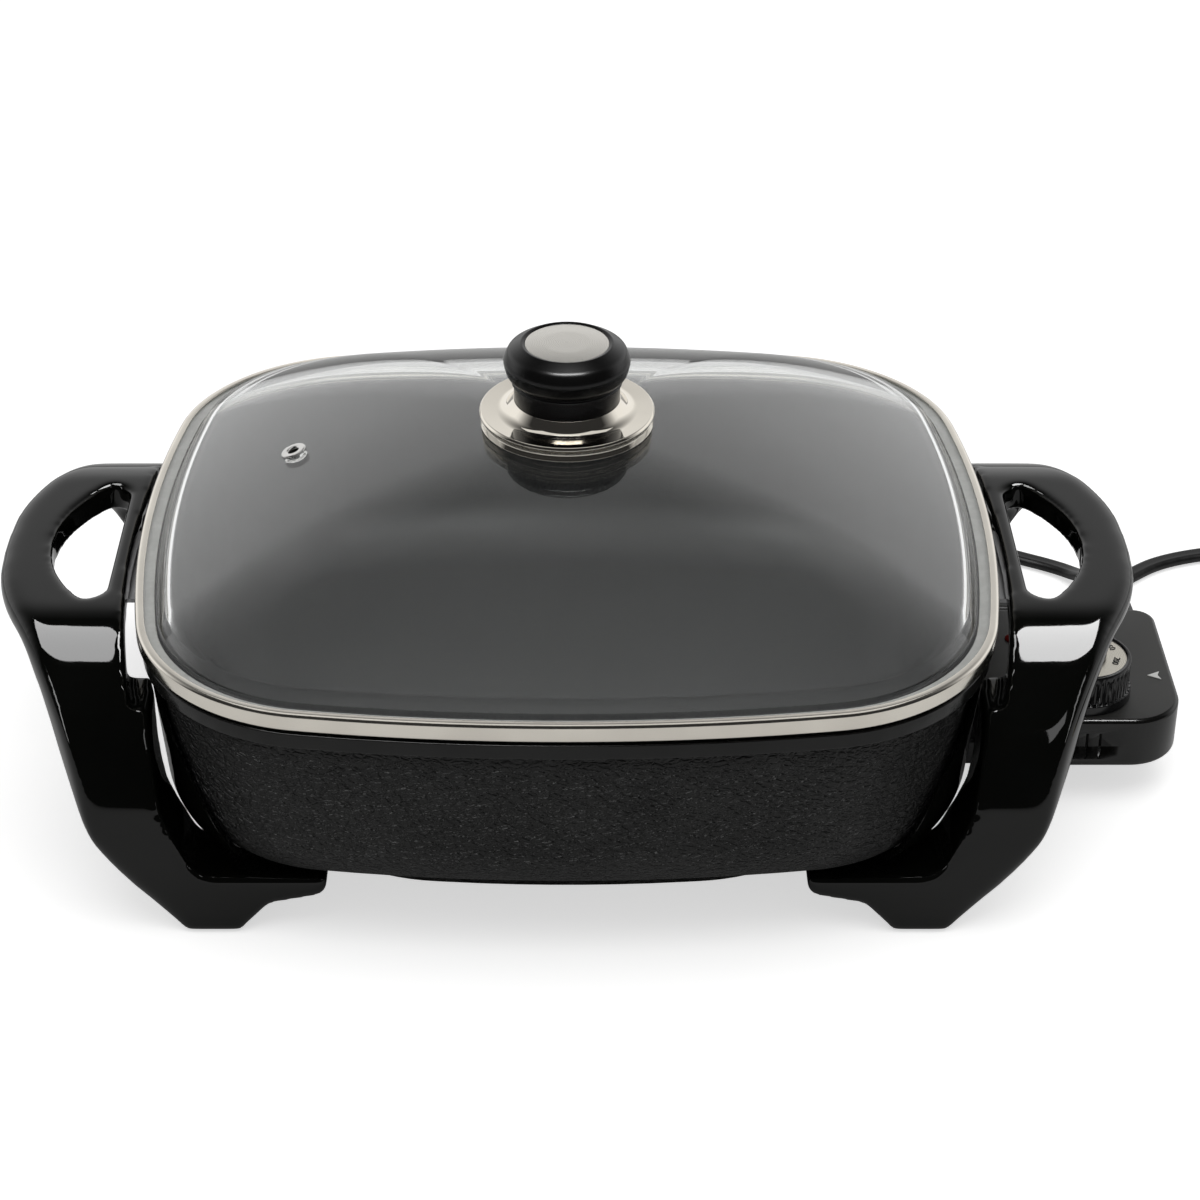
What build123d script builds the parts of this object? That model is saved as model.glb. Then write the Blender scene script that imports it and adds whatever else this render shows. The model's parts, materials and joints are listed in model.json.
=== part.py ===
"""Electric skillet: cast pan, two arched handles with feet, lift-off glass lid, pull-out heat control.

Frame: the origin is on the table under the pan's centre, +X points to the heat control,
+Y to the back and +Z up. All sizes are in millimetres.
"""

import os
from math import acos, atan2, cos, degrees, radians, sin, sqrt, tan

from build123d import *

os.makedirs("parts", exist_ok=True)

# ---------------------------------------------------------------- driving dimensions

# Plan outline of the lid; the pan and its rim are parallel to it
LID_LENGTH = 380.0          # reaches below are distances beyond the lid's end, inwards when negative
LID_DEPTH = 338.0
SIDE_BOW = 760.0
END_BOW = 580.0
CORNER_RADIUS = 86.0

# Pan
PAN_HEIGHT = 125.2          # table to the top of the sealing bead
PAN_BOTTOM = 30.0           # table to the flat underside
PAN_WALL = 4.0
PAN_DRAFT = 5.2             # degrees, wall against the vertical
PAN_BEND = 35.0             # outside radius between wall and bottom
FLANGE_INSET = 2.0          # flange edge inside the lid's edge
FLANGE_THICKNESS = 7.2
FLANGE_WIDTH = 6.0
FLANGE_ROUNDING = 0.8
BEAD_RISE = 1.9             # sealing bead above the flange
BEAD_WIDTH = 4.5

# Heating element cast into a ridge under the pan
ELEMENT_DIAMETER = 8.0
ELEMENT_REACH = -60.0
ELEMENT_SIDE_INSET = 56.0   # lid's side to the element's
ELEMENT_CORNER_X = 48.0
ELEMENT_CORNER_Y = 53.0
ELEMENT_BOW = 7.0
ELEMENT_BEND = 70.0
ELEMENT_BOW_RADIUS = 600.0
ELEMENT_END_REACH = -38.0   # the element's cold ends
RIDGE_WIDTH = 18.0
RIDGE_DROP = 11.0
RIDGE_END_REACH = -45.0
TERMINAL_SPACING = 36.0
TERMINAL_BEND = 10.0
TERMINAL_DIAMETER = 4.8
TERMINAL_LENGTH = 24.0
TERMINAL_DEPTH = 5.5        # pin centre line below the pan's bottom
INSULATOR_DIAMETER = 9.0
INSULATOR_LENGTH = 6.0
PROBE_BOSS_REACH = -92.0
PROBE_BOSS_WIDTH = 22.0
PROBE_BOSS_DROP = 12.0

# Sheet steel guard round the terminals
GUARD_WIDTH = 62.0
GUARD_START_REACH = -44.5
GUARD_END_REACH = -14.0
GUARD_BOTTOM = 12.5
GUARD_SHEET = 1.0
GUARD_TOP = 35.0            # before it is trimmed to the pan
GUARD_TAB = 14.0
GUARD_TAB_WIDTH = 26.0
GUARD_SCREW_SPACING = 17.0

# Lid
LID_GAP = 0.3               # lid rim above the sealing bead
RIM_HEIGHT = 8.5
RIM_SHEET = 0.8
RIM_TOP_LIP = 3.9
RIM_BOTTOM_LIP = 9.0
RIM_CURL = 1.8
SEAL_INSET = 1.3
SEAL_WIDTH = 8.6
GLASS_INSET = 1.1           # glass edge inside the rim's outer face
GLASS_THICKNESS = 4.0
GLASS_EDGE = 1.2
GLASS_FLANGE = 5.6          # flat glass showing inside the rim
STEP_WIDTH = 3.5
STEP_RISE = 5.8
DOME_RISE = 44.5
DOME_POWER = 2.2
DOME_DROP = 4.2             # inner face of the dome below the outer one
UNDER_INSET = 16.5
DOME_SCALES = (1.0, 0.9, 0.78, 0.64, 0.5, 0.36, 0.22, 0.1)
VENT_DISTANCE = 121.5
VENT_DIAMETER = 11.5
VENT_BORE = 4.6
VENT_FLANGE = 1.3
VENT_Y = 5.0
VENT_STEM = 8.0
VENT_GRIP = 5.0             # glass between the vent's flanges
VENT_SEAT = 0.1             # flange's clearance over the curved glass

# Knob
BASE_DIAMETER = 77.8
BASE_HEIGHT = 6.8
BASE_SHEET = 1.2
BASE_WAIST = 2.0
BASE_SINK = 0.6             # the base's edge below the dome's top
FLARE_HEIGHT = 5.0
NECK_DIAMETER = 46.6
NECK_HEIGHT = 9.5
HEAD_DIAMETER = 56.2
HEAD_HEIGHT = 17.4
INSERT_DIAMETER = 36.8
INSERT_THICKNESS = 1.2
KNOB_SCREW_DIAMETER = 5.0
KNOB_SCREW_LENGTH = 22.0
GASKET_DIAMETER = 34.0
GASKET_THICKNESS = 1.5
WASHER_DIAMETER = 16.0
WASHER_THICKNESS = 1.2

# Handles: upright sizes are above the table, reaches are beyond the lid's end
HANDLE_DROP = 0.8           # grip's top below the pan's flange
HANDLE_GAP = 5.5            # grip to the lid's edge in plan
GRIP_REACH = 63.5
GRIP_FLAT = 36.0            # half of the straight outer edge
GRIP_TAPER = 27.2           # degrees, outer edge towards the legs
GRIP_CORNER = 110.0
GRIP_THICKNESS = 13.5
SHOULDER_INSET = 94.0       # lid's side to the end of the flat top
SHOULDER_BEND = 58.0
LEG_BEND = 80.0
LEG_KNEE_DROP = 42.5        # below the grip's top
LEG_KNEE_STEP = 35.0        # foot's outer edge to the knee, both outwards and upwards
LEG_KNEE_BEND = 160.0
LEG_FLARE_REACH = 38.5
LEG_FLARE_DROP = 25.5       # below the grip's top
FOOT_SIDE_INSET = 38.0      # lid's side to the foot's
FOOT_DEPTH = 34.0
FOOT_OUTER_REACH = -25.0
FOOT_INNER_REACH = -48.0
ARM_REACH = -87.0
ARM_THICKNESS = 11.5
ARM_SLOPE = 13.0
INSTEP_REACH = -30.0
LEG_TOP_REACH = -14.0       # inner side of the legs, from the grip down to the instep
LEG_MIDDLE_REACH = -17.0
INSTEP_BEND = 25.0
ARCH_TAPER = 8.0            # underside of the grip inside its shoulders
ARCH_BEND = 30.0
SLOT_HALF_LENGTH = 52.0
SLOT_WIDTH = 29.0
SLOT_INSET = 12.5           # lid's edge to the slot
SLOT_CORNER = 8.0
EDGE_ROUNDING = 1.0

# Heat shield and bracket between pan and handle
SHIELD_THICKNESS = 3.0
SHIELD_GAP = 0.8
SHIELD_BOTTOM = 36.0
SHIELD_REACH_TOP = -9.0
SHIELD_REACH_BOTTOM = -53.0
BRACKET_SHEET = 2.0
BRACKET_HALF_DEPTH = 30.0
BRACKET_HEIGHT = 20.0
BRACKET_SCREW_SPACING = 40.0
BRACKET_SCREW_LEVEL = 98.0
BRACKET_SCREW_GRIP = 5.0    # thread in the pan's boss
BRACKET_BOSS_DIAMETER = 10.0
BRACKET_BOSS_LENGTH = 8.0
GRIP_SCREW_REACH = 9.0      # lid's end to the screws under the grip's rail
GRIP_SCREW_GRIP = 9.0
ARM_SCREW_REACH = -78.0
ARM_SCREW_INSET = 25.0      # foot's side to the screws
ARM_SCREW_GRIP = 8.0        # thread in the pan's boss
ARM_SCREW_SEAT = 20.7       # table to the heads' seats inside the arms
ARM_BOSS_DIAMETER = 14.0
ARM_BOSS_DROP = 6.0
PAD_INSET = 18.0            # foot's side to the pad's centre
PAD_LENGTH = 17.0
PAD_DEPTH = 26.0
PAD_THICKNESS = 3.0
PAD_PROUD = 0.8
SEAT_GAP = 0.3              # between moulded or cast pieces that lie along each other

# Screws, all with pan heads
SCREW_DIAMETER = 4.0
SCREW_HEAD = 7.4
SCREW_HEAD_HEIGHT = 2.4
SCREW_CLEARANCE = 0.05      # radial, round a shank
HEAD_CLEARANCE = 0.4        # radial, round a head
SMALL_SCREW = 0.7           # scale of the small screws inside the control

# Heat control
CONTROL_TOP = 45.0
CONTROL_BOTTOM = 19.5
CONTROL_REACH = -2.0        # the housing's inner end
CONTROL_LENGTH = 94.6
CONTROL_FRONT = -32.0
CONTROL_BACK = 66.0
CONTROL_SPLIT = 31.0        # parting line between the housings
FRONT_CORNER = 24.0
BACK_CORNER = 10.0
INNER_CORNER = 6.0
HOUSING_WALL = 2.2
HOUSING_ROUNDING = 2.5
POST_DIAMETER = 7.0
GROOVE_SPACING = 6.0        # upright grooves in the front
GROOVE_WIDTH = 1.2
GROOVE_DEPTH = 0.8
GROOVE_HEIGHT = 14.0
BLOCK_REACH = -30.0
BLOCK_WIDTH = 54.0
BLOCK_TOP = 31.0
BLOCK_BOTTOM = 17.0
BLOCK_TONGUE = 10.0
TONGUE_WIDTH = 44.0
SOCKET_WALL = 1.0
TAB_LENGTH = 16.0
PROBE_DIAMETER = 7.0
PROBE_TIP_REACH = -86.0
PROBE_SHOULDER_REACH = -4.0 # full diameter up to here, a thinner tail beyond
PROBE_TAIL_REACH = 14.5
PROBE_TAIL_DIAMETER = 5.0
PROBE_CLEARANCE = 0.35
COLLAR_DIAMETER = 11.0
COLLAR_LENGTH = 5.0
DIAL_REACH = 47.8
DIAL_CENTRE_Y = -6.0
DIAL_DIAMETER = 45.0
DIAL_HEIGHT = 19.0
DIAL_GAP = 0.5
DIAL_COLLAR_HEIGHT = 4.0
DIAL_COLLAR_WIDTH = 1.2     # collar beyond the knurled side
DIAL_KNURLS = 48
DIAL_KNURL_DIAMETER = 1.6
DIAL_RING_DIAMETER = 38.5
DIAL_RING_THICKNESS = 1.0
DIAL_CAP_DIAMETER = 20.0
DIAL_CAP_HEIGHT = 3.0
SHAFT_DIAMETER = 6.0
SHAFT_CLEARANCE = 0.06
SHAFT_BOTTOM = 26.5

# Thermostat inside the control
FRAME_SHEET = 1.5
FRAME_LENGTH = 58.0
FRAME_WIDTH = 36.0
FRAME_TAB_WIDTH = 16.0
FRAME_TAB_TOP = 29.0
BLADE_STRIP = 0.6
BLADE_STRIP_WIDTH = 10.0
BLADE_STRIP_LENGTH = 44.0
BLADE_STRIP_RISE = 2.0
STRIP_FOOT = 12.0
LAMP_REACH = 22.0
LAMP_Y = 38.0
LAMP_DIAMETER = 5.0
LAMP_HOLDER = 9.0
LENS_DIAMETER = 8.0
LENS_PROUD = 0.8
MARK_LENGTH = 6.0
MARK_WIDTH = 6.6
MARK_REACH = 83.5
MARK_CENTRE_Y = 6.0
MARK_THICKNESS = 0.3

# Mains lead
CORD_WIDTH = 9.0
CORD_THICKNESS = 5.0
RELIEF_REACH = 81.0
RELIEF_LEVEL = 34.0
RELIEF_LENGTH = 30.0
RELIEF_WIDTH = 13.0
RELIEF_HEIGHT = 10.0
RELIEF_END_WIDTH = 10.5
RELIEF_END_HEIGHT = 6.5
RELIEF_NECK = 5.6
CORD_LEVEL = CORD_THICKNESS / 2 + 0.7
PLUG_WIDTH = 24.0
PLUG_HEIGHT = 15.0
PLUG_LENGTH = 36.0
PLUG_CORNER = 3.0
PLUG_NECK = 4.0             # wider than the lead where they meet
BLADE_SPACING = 12.7
BLADE_WIDTH = 6.3
BLADE_THICKNESS = 1.5
BLADE_LENGTH = 17.0

# ---------------------------------------------------------------- shared geometry

HALF_LENGTH = LID_LENGTH / 2
HALF_DEPTH = LID_DEPTH / 2


def reach(distance):
    """Distance from the pan's centre of a point so far beyond the lid's end."""
    return HALF_LENGTH + distance


ELEMENT_HALF_LENGTH = reach(ELEMENT_REACH)
ELEMENT_END = reach(ELEMENT_END_REACH)
RIDGE_END = reach(RIDGE_END_REACH)
PROBE_BOSS_START = reach(PROBE_BOSS_REACH)
GUARD_START = reach(GUARD_START_REACH)
GUARD_END = reach(GUARD_END_REACH)
ELEMENT_HALF_DEPTH = HALF_DEPTH - ELEMENT_SIDE_INSET
GRIP_SHOULDER = HALF_DEPTH - SHOULDER_INSET
FOOT_HALF_DEPTH = HALF_DEPTH - FOOT_SIDE_INSET
PAD_CENTRE = FOOT_HALF_DEPTH - PAD_INSET
ARM_SCREW_X = reach(ARM_SCREW_REACH)
ARM_SCREW_Y = FOOT_HALF_DEPTH - ARM_SCREW_INSET
BLOCK_START = reach(BLOCK_REACH)
CONTROL_START = reach(CONTROL_REACH)
CONTROL_END = CONTROL_START + CONTROL_LENGTH
PROBE_TIP = reach(PROBE_TIP_REACH)
PROBE_SHOULDER = reach(PROBE_SHOULDER_REACH)
PROBE_TAIL = reach(PROBE_TAIL_REACH)
DIAL_CENTRE_X = reach(DIAL_REACH)
LAMP_X = reach(LAMP_REACH)
MARK_CENTRE_X = reach(MARK_REACH)
RELIEF_X = reach(RELIEF_REACH)
RIM_BOTTOM = PAN_HEIGHT + LID_GAP
RIM_TOP = RIM_BOTTOM + RIM_HEIGHT
GLASS_TOP = RIM_TOP - RIM_SHEET
GLASS_BOTTOM = GLASS_TOP - GLASS_THICKNESS
FLANGE_TOP = PAN_HEIGHT - BEAD_RISE
FLANGE_BOTTOM = FLANGE_TOP - FLANGE_THICKNESS
TERMINAL_LEVEL = PAN_BOTTOM - TERMINAL_DEPTH
STEP_INSET = RIM_TOP_LIP + GLASS_FLANGE
DOME_INSET = STEP_INSET + STEP_WIDTH
DOME_BASE = GLASS_TOP + STEP_RISE
DOME_FLAT = DOME_RISE * (1 - DOME_SCALES[-1] ** DOME_POWER)
DOME_TOP = DOME_BASE + DOME_FLAT
HANDLE_TOP = FLANGE_TOP - HANDLE_DROP
GRIP_BOTTOM = HANDLE_TOP - GRIP_THICKNESS
LEG_KNEE = HANDLE_TOP - LEG_KNEE_DROP
SHIELD_GROW = SHIELD_GAP + SHIELD_THICKNESS
HANDLE_GROW = SHIELD_GROW + 0.5
# Inset of the bend's tangent to the wall, so that the wall meets the flange at its inner edge
FLANGE_INNER = FLANGE_INSET + FLANGE_WIDTH
WALL_INSET = (
    FLANGE_INNER
    + (FLANGE_BOTTOM - PAN_BOTTOM - PAN_BEND) * tan(radians(PAN_DRAFT))
    + PAN_BEND * (1 / cos(radians(PAN_DRAFT)) - 1)
)
CORE_INSET = WALL_INSET + PAN_BEND + 12.0
BRACKET_FACE = HALF_LENGTH - FLANGE_INNER + SHIELD_GROW


def corner_centre(half_length, half_depth, side_bow, end_bow, corner):
    """Centre of the corner arc that is tangent to a side bow and an end bow."""
    p, s = end_bow - half_length, side_bow - half_depth
    w, u = end_bow - corner, side_bow - corner
    slope, start = p / s, (u * u - w * w - s * s + p * p) / (2 * s)
    a, b, c = 1 + slope * slope, 2 * (p + start * slope), p * p + start * start - w * w
    x = (-b + sqrt(b * b - 4 * a * c)) / (2 * a)
    return x, start + slope * x


def bowed_arcs(half_length, half_depth, side_bow, end_bow, corner, inset=0.0):
    """Eight tangent arcs, counterclockwise from the right end: centre x, y, radius, first angle, sweep."""
    x, y = corner_centre(half_length, half_depth, side_bow, end_bow, corner)
    end = degrees(atan2(y, x + end_bow - half_length))
    side = degrees(atan2(x, y + side_bow - half_depth))
    turn = 90 - end - side
    end_x, side_y = half_length - end_bow, half_depth - side_bow
    return [
        (end_x, 0, end_bow - inset, -end, 2 * end),
        (x, y, corner - inset, end, turn),
        (0, side_y, side_bow - inset, 90 - side, 2 * side),
        (-x, y, corner - inset, 90 + side, turn),
        (-end_x, 0, end_bow - inset, 180 - end, 2 * end),
        (-x, -y, corner - inset, 180 + end, turn),
        (0, -side_y, side_bow - inset, 270 - side, 2 * side),
        (x, -y, corner - inset, 270 + side, turn),
    ]


def lid_arcs(inset=0.0, scale=1.0):
    """Arcs of the lid's outline, moved inwards and then scaled about the centre."""
    arcs = bowed_arcs(HALF_LENGTH, HALF_DEPTH, SIDE_BOW, END_BOW, CORNER_RADIUS, inset)
    return [(x * scale, y * scale, r * scale, first, sweep) for x, y, r, first, sweep in arcs]


def outline(arcs, height):
    """Level face at a height, bounded by a closed chain of arcs."""
    with BuildSketch(Plane.XY.offset(height)) as face:
        with BuildLine():
            for x, y, radius, first, sweep in arcs:
                CenterArc((x, y), radius, first, sweep)
        make_face()
    return face.sketch


def arc_plane(arc):
    """Upright plane at an arc's first angle: local x is the radius, local y is up."""
    x, y, _, first, _ = arc
    direction = (cos(radians(first)), sin(radians(first)), 0)
    return Plane(origin=(x, y, 0), x_dir=direction, z_dir=(direction[1], -direction[0], 0))


def turn(profile, arc, mode=Mode.ADD):
    """Turn a profile about an arc's centre through the arc's sweep."""
    x, y, _, _, sweep = arc
    revolve(profile, axis=Axis((x, y, 0), (0, 0, 1)), revolution_arc=sweep, mode=mode)


def section(arc, points, rounding):
    """Rounded profile on an arc's plane: each point is an inset from the arc and a height."""
    with BuildSketch(arc_plane(arc)) as profile:
        with BuildLine():
            FilletPolyline([(arc[2] - inset, z) for inset, z in points], radius=rounding, close=True)
        make_face()
    return profile.sketch


def wall_section(arc, grow, inner_inset, top):
    """Profile of the pan's outside, grown outwards, as far in as inner_inset."""
    draft = radians(PAN_DRAFT)
    bend_centre = arc[2] - WALL_INSET - PAN_BEND
    bend_level = PAN_BOTTOM + PAN_BEND
    bend = PAN_BEND + grow
    tangent = (bend_centre + bend * cos(draft), bend_level - bend * sin(draft))
    middle = radians((90 + PAN_DRAFT) / 2)
    inner = arc[2] - inner_inset
    rise = top - tangent[1]
    with BuildSketch(arc_plane(arc)) as profile:
        with BuildLine():
            bottom = Line((inner, bend_level - bend), (bend_centre, bend_level - bend))
            curve = ThreePointArc(
                bottom @ 1, (bend_centre + bend * cos(middle), bend_level - bend * sin(middle)), tangent
            )
            wall = Line(curve @ 1, (tangent[0] + rise * tan(draft), top))
            Polyline(wall @ 1, (inner, top), bottom @ 0)
        make_face()
    return profile.sketch


def level_plane(x, y, z, down=False):
    """Plane at a point, facing up or down."""
    return Plane(origin=(x, y, z), z_dir=(0, 0, -1 if down else 1))


def facing_x(x, y, z, way=1):
    """Plane at a point, facing along X."""
    return Plane(origin=(x, y, z), z_dir=(way, 0, 0))


def rod(plane, diameter, length, mode=Mode.ADD):
    """Cylinder that starts on a plane."""
    with Locations(plane):
        Cylinder(diameter / 2, length, align=(Align.CENTER, Align.CENTER, Align.MIN), mode=mode)


def block(corner, size, mode=Mode.ADD):
    """Box from its lowest corner."""
    with Locations(corner):
        Box(*size, align=(Align.MIN, Align.MIN, Align.MIN), mode=mode)


def screw(seat, length, scale=1.0):
    """Pan-head screw: its head bears on the seat plane and its shank goes along the plane's normal."""
    rod(seat, SCREW_DIAMETER * scale, length)
    rod(Plane(origin=seat.origin, z_dir=-seat.z_dir), SCREW_HEAD * scale, SCREW_HEAD_HEIGHT * scale)


def screw_way(seat, length, scale=1.0):
    """Clearance hole along the seat plane's normal, for a screw's shank."""
    rod(seat, SCREW_DIAMETER * scale + 2 * SCREW_CLEARANCE, length, Mode.SUBTRACT)


def head_way(seat, depth, scale=1.0):
    """Clearance against the seat plane's normal, for a screw's head."""
    diameter = SCREW_HEAD * scale + 2 * HEAD_CLEARANCE
    rod(Plane(origin=seat.origin, z_dir=-seat.z_dir), diameter, depth, Mode.SUBTRACT)


def finish(builder, name):
    """Label a finished piece and write it."""
    builder.part.label = name
    export_step(builder.part, f"parts/{name}.step")
    print(f"{name:24s} {len(builder.part.solids())} solid(s) {builder.part.volume / 1000:9.2f} cm3")


# ---------------------------------------------------------------- pan and heating element

ARM_SCREWS = [(x, y) for x in (-ARM_SCREW_X, ARM_SCREW_X) for y in (-ARM_SCREW_Y, ARM_SCREW_Y)]
BRACKET_SCREWS = (-BRACKET_SCREW_SPACING / 2, BRACKET_SCREW_SPACING / 2)
TERMINALS = (-TERMINAL_SPACING / 2, TERMINAL_SPACING / 2)
GUARD_SCREW_SEAT = PAN_BOTTOM - PROBE_BOSS_DROP - GUARD_SHEET
GUARD_SCREW_LENGTH = 8.0
GUARD_SCREWS = [
    level_plane(GUARD_START - GUARD_TAB / 2, side * GUARD_SCREW_SPACING / 2, GUARD_SCREW_SEAT)
    for side in (-1, 1)
]


def element_path(end):
    """Centre line of the heating element, from one terminal's side round to the other's."""
    length, depth = ELEMENT_HALF_LENGTH, ELEMENT_HALF_DEPTH
    corner_x, corner_y = length - ELEMENT_CORNER_X, depth - ELEMENT_BOW
    side_y = depth - ELEMENT_CORNER_Y
    pin_y = TERMINAL_SPACING / 2
    half = [
        (end, pin_y),
        (length, pin_y),
        (length, side_y),
        (corner_x, corner_y),
        (0, depth),
        (-corner_x, corner_y),
        (-length, side_y),
    ]
    points = half + [(x, -y) for x, y in reversed(half)]
    bends = [TERMINAL_BEND, ELEMENT_BEND, ELEMENT_BEND, ELEMENT_BOW_RADIUS, ELEMENT_BEND, ELEMENT_BEND]
    with BuildLine(Plane.XY.offset(TERMINAL_LEVEL)) as path:
        FilletPolyline(points, radius=bends + list(reversed(bends)))
    return path.line


def start_plane(path):
    """Upright plane across a level path's start."""
    return Plane(origin=path @ 0, x_dir=(0, 1, 0), z_dir=path % 0)


def ridge_section(path, margin):
    """Profile of the element's ridge, widened by a margin, across its path's start."""
    height = RIDGE_DROP + 1 + margin
    with BuildSketch(start_plane(path)) as ridge:
        with Locations((0, TERMINAL_DEPTH + 1 - height / 2)):
            Rectangle(RIDGE_WIDTH + 2 * margin, height)
    return ridge.sketch


ELEMENT_PATH = element_path(ELEMENT_END)
RIDGE_PATH = element_path(RIDGE_END)

with BuildPart() as pan_body:
    for arc in lid_arcs():
        turn(wall_section(arc, 0, CORE_INSET, FLANGE_BOTTOM + 1), arc)
        rim = [
            (FLANGE_INNER + BEAD_WIDTH, FLANGE_BOTTOM),
            (FLANGE_INSET, FLANGE_BOTTOM),
            (FLANGE_INSET, FLANGE_TOP),
            (FLANGE_INNER, FLANGE_TOP),
            (FLANGE_INNER, PAN_HEIGHT),
            (FLANGE_INNER + BEAD_WIDTH, PAN_HEIGHT),
        ]
        turn(section(arc, rim, FLANGE_ROUNDING), arc)
    extrude(outline(lid_arcs(CORE_INSET - 2), PAN_BOTTOM), amount=FLANGE_BOTTOM + 1 - PAN_BOTTOM)
    for arc in lid_arcs():
        turn(wall_section(arc, -PAN_WALL, CORE_INSET, PAN_HEIGHT + 1), arc, Mode.SUBTRACT)
    cavity = outline(lid_arcs(CORE_INSET - 2), PAN_BOTTOM + PAN_WALL)
    extrude(cavity, amount=PAN_HEIGHT, mode=Mode.SUBTRACT)
    # Ridge that holds the element, boss of the probe well, bosses for the feet's arms
    sweep(ridge_section(RIDGE_PATH, 0), path=RIDGE_PATH)
    with Locations((PROBE_BOSS_START, 0, PAN_BOTTOM - PROBE_BOSS_DROP)):
        low = (Align.MIN, Align.CENTER, Align.MIN)
        Box(RIDGE_END - PROBE_BOSS_START, PROBE_BOSS_WIDTH, PROBE_BOSS_DROP + 1, align=low)
    for x, y in ARM_SCREWS:
        rod(level_plane(x, y, PAN_BOTTOM - ARM_BOSS_DROP), ARM_BOSS_DIAMETER, ARM_BOSS_DROP + 1)
        screw_way(level_plane(x, y, PAN_BOTTOM - ARM_BOSS_DROP), ARM_SCREW_GRIP)
    # Bosses that the handle brackets are screwed to, and holes for the guard's screws
    for side in (-1, 1):
        for y in BRACKET_SCREWS:
            face = facing_x(side * BRACKET_FACE, y, BRACKET_SCREW_LEVEL, -side)
            rod(face, BRACKET_BOSS_DIAMETER, BRACKET_BOSS_LENGTH)
            screw_way(face, BRACKET_SCREW_GRIP)
    for seat in GUARD_SCREWS:
        screw_way(seat, GUARD_SCREW_LENGTH, SMALL_SCREW)
    # Seat of the element, and the well of the probe
    with BuildSketch(start_plane(ELEMENT_PATH)) as seat:
        Circle(ELEMENT_DIAMETER / 2)
    sweep(seat.sketch, path=ELEMENT_PATH, mode=Mode.SUBTRACT)
    with Locations(Plane(origin=(RIDGE_END + 1, 0, TERMINAL_LEVEL), z_dir=(-1, 0, 0))):
        Cylinder(
            PROBE_DIAMETER / 2 + PROBE_CLEARANCE,
            RIDGE_END + 1 - PROBE_TIP + 2,
            align=(Align.CENTER, Align.CENTER, Align.MIN),
            mode=Mode.SUBTRACT,
        )

finish(pan_body, "pan_body")

with BuildPart() as heating_element:
    with BuildSketch(start_plane(ELEMENT_PATH)) as tube:
        Circle(ELEMENT_DIAMETER / 2)
    sweep(tube.sketch, path=ELEMENT_PATH)

finish(heating_element, "heating_element")

# ---------------------------------------------------------------- terminals and their guard

with BuildPart() as terminal_insulators:
    for y in TERMINALS:
        with Locations(Plane(origin=(ELEMENT_END, y, TERMINAL_LEVEL), z_dir=(1, 0, 0))):
            base = (Align.CENTER, Align.CENTER, Align.MIN)
            Cylinder(INSULATOR_DIAMETER / 2, INSULATOR_LENGTH, align=base)
            Cylinder(TERMINAL_DIAMETER / 2, INSULATOR_LENGTH, align=base, mode=Mode.SUBTRACT)

finish(terminal_insulators, "terminal_insulators")

with BuildPart() as terminal_pins:
    for y in TERMINALS:
        with Locations(Plane(origin=(ELEMENT_END, y, TERMINAL_LEVEL), z_dir=(1, 0, 0))):
            Cylinder(TERMINAL_DIAMETER / 2, TERMINAL_LENGTH, align=(Align.CENTER, Align.CENTER, Align.MIN))
    chamfer(terminal_pins.faces().filter_by(Axis.X).group_by(Axis.X)[-1].edges(), 0.8)

finish(terminal_pins, "terminal_pins")

with BuildPart() as terminal_guard:
    # Floor, two sides and a back plate, open towards the control, with a tab under the probe's boss
    block(
        (GUARD_START, -GUARD_WIDTH / 2, GUARD_BOTTOM),
        (GUARD_END - GUARD_START, GUARD_WIDTH, GUARD_TOP - GUARD_BOTTOM),
    )
    inside = (GUARD_END - GUARD_START, GUARD_WIDTH - 2 * GUARD_SHEET, GUARD_TOP - GUARD_BOTTOM)
    corner = (GUARD_START + GUARD_SHEET, -inside[1] / 2, GUARD_BOTTOM + GUARD_SHEET)
    block(corner, inside, Mode.SUBTRACT)
    turn(wall_section(lid_arcs()[0], SEAT_GAP, CORE_INSET, HANDLE_TOP), lid_arcs()[0], Mode.SUBTRACT)
    tab = (GUARD_START - GUARD_TAB, -GUARD_TAB_WIDTH / 2, GUARD_SCREW_SEAT)
    block(tab, (GUARD_TAB + 1, GUARD_TAB_WIDTH, GUARD_SHEET))
    # Ways through the back plate for the element's ends and the probe, and through the tab for the screws
    ways = [(y, ELEMENT_DIAMETER + 2 * SEAT_GAP) for y in TERMINALS]
    ways.append((0, PROBE_DIAMETER + 4 * PROBE_CLEARANCE))
    for y, diameter in ways:
        rod(facing_x(GUARD_START - 1, y, TERMINAL_LEVEL), diameter, GUARD_SHEET + 2, Mode.SUBTRACT)
    for seat in GUARD_SCREWS:
        screw_way(seat, GUARD_SHEET, SMALL_SCREW)

finish(terminal_guard, "terminal_guard")

with BuildPart() as guard_screws:
    for seat in GUARD_SCREWS:
        screw(seat, GUARD_SCREW_LENGTH - 1, SMALL_SCREW)

finish(guard_screws, "guard_screws")

# ---------------------------------------------------------------- handles, shields and brackets


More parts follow.
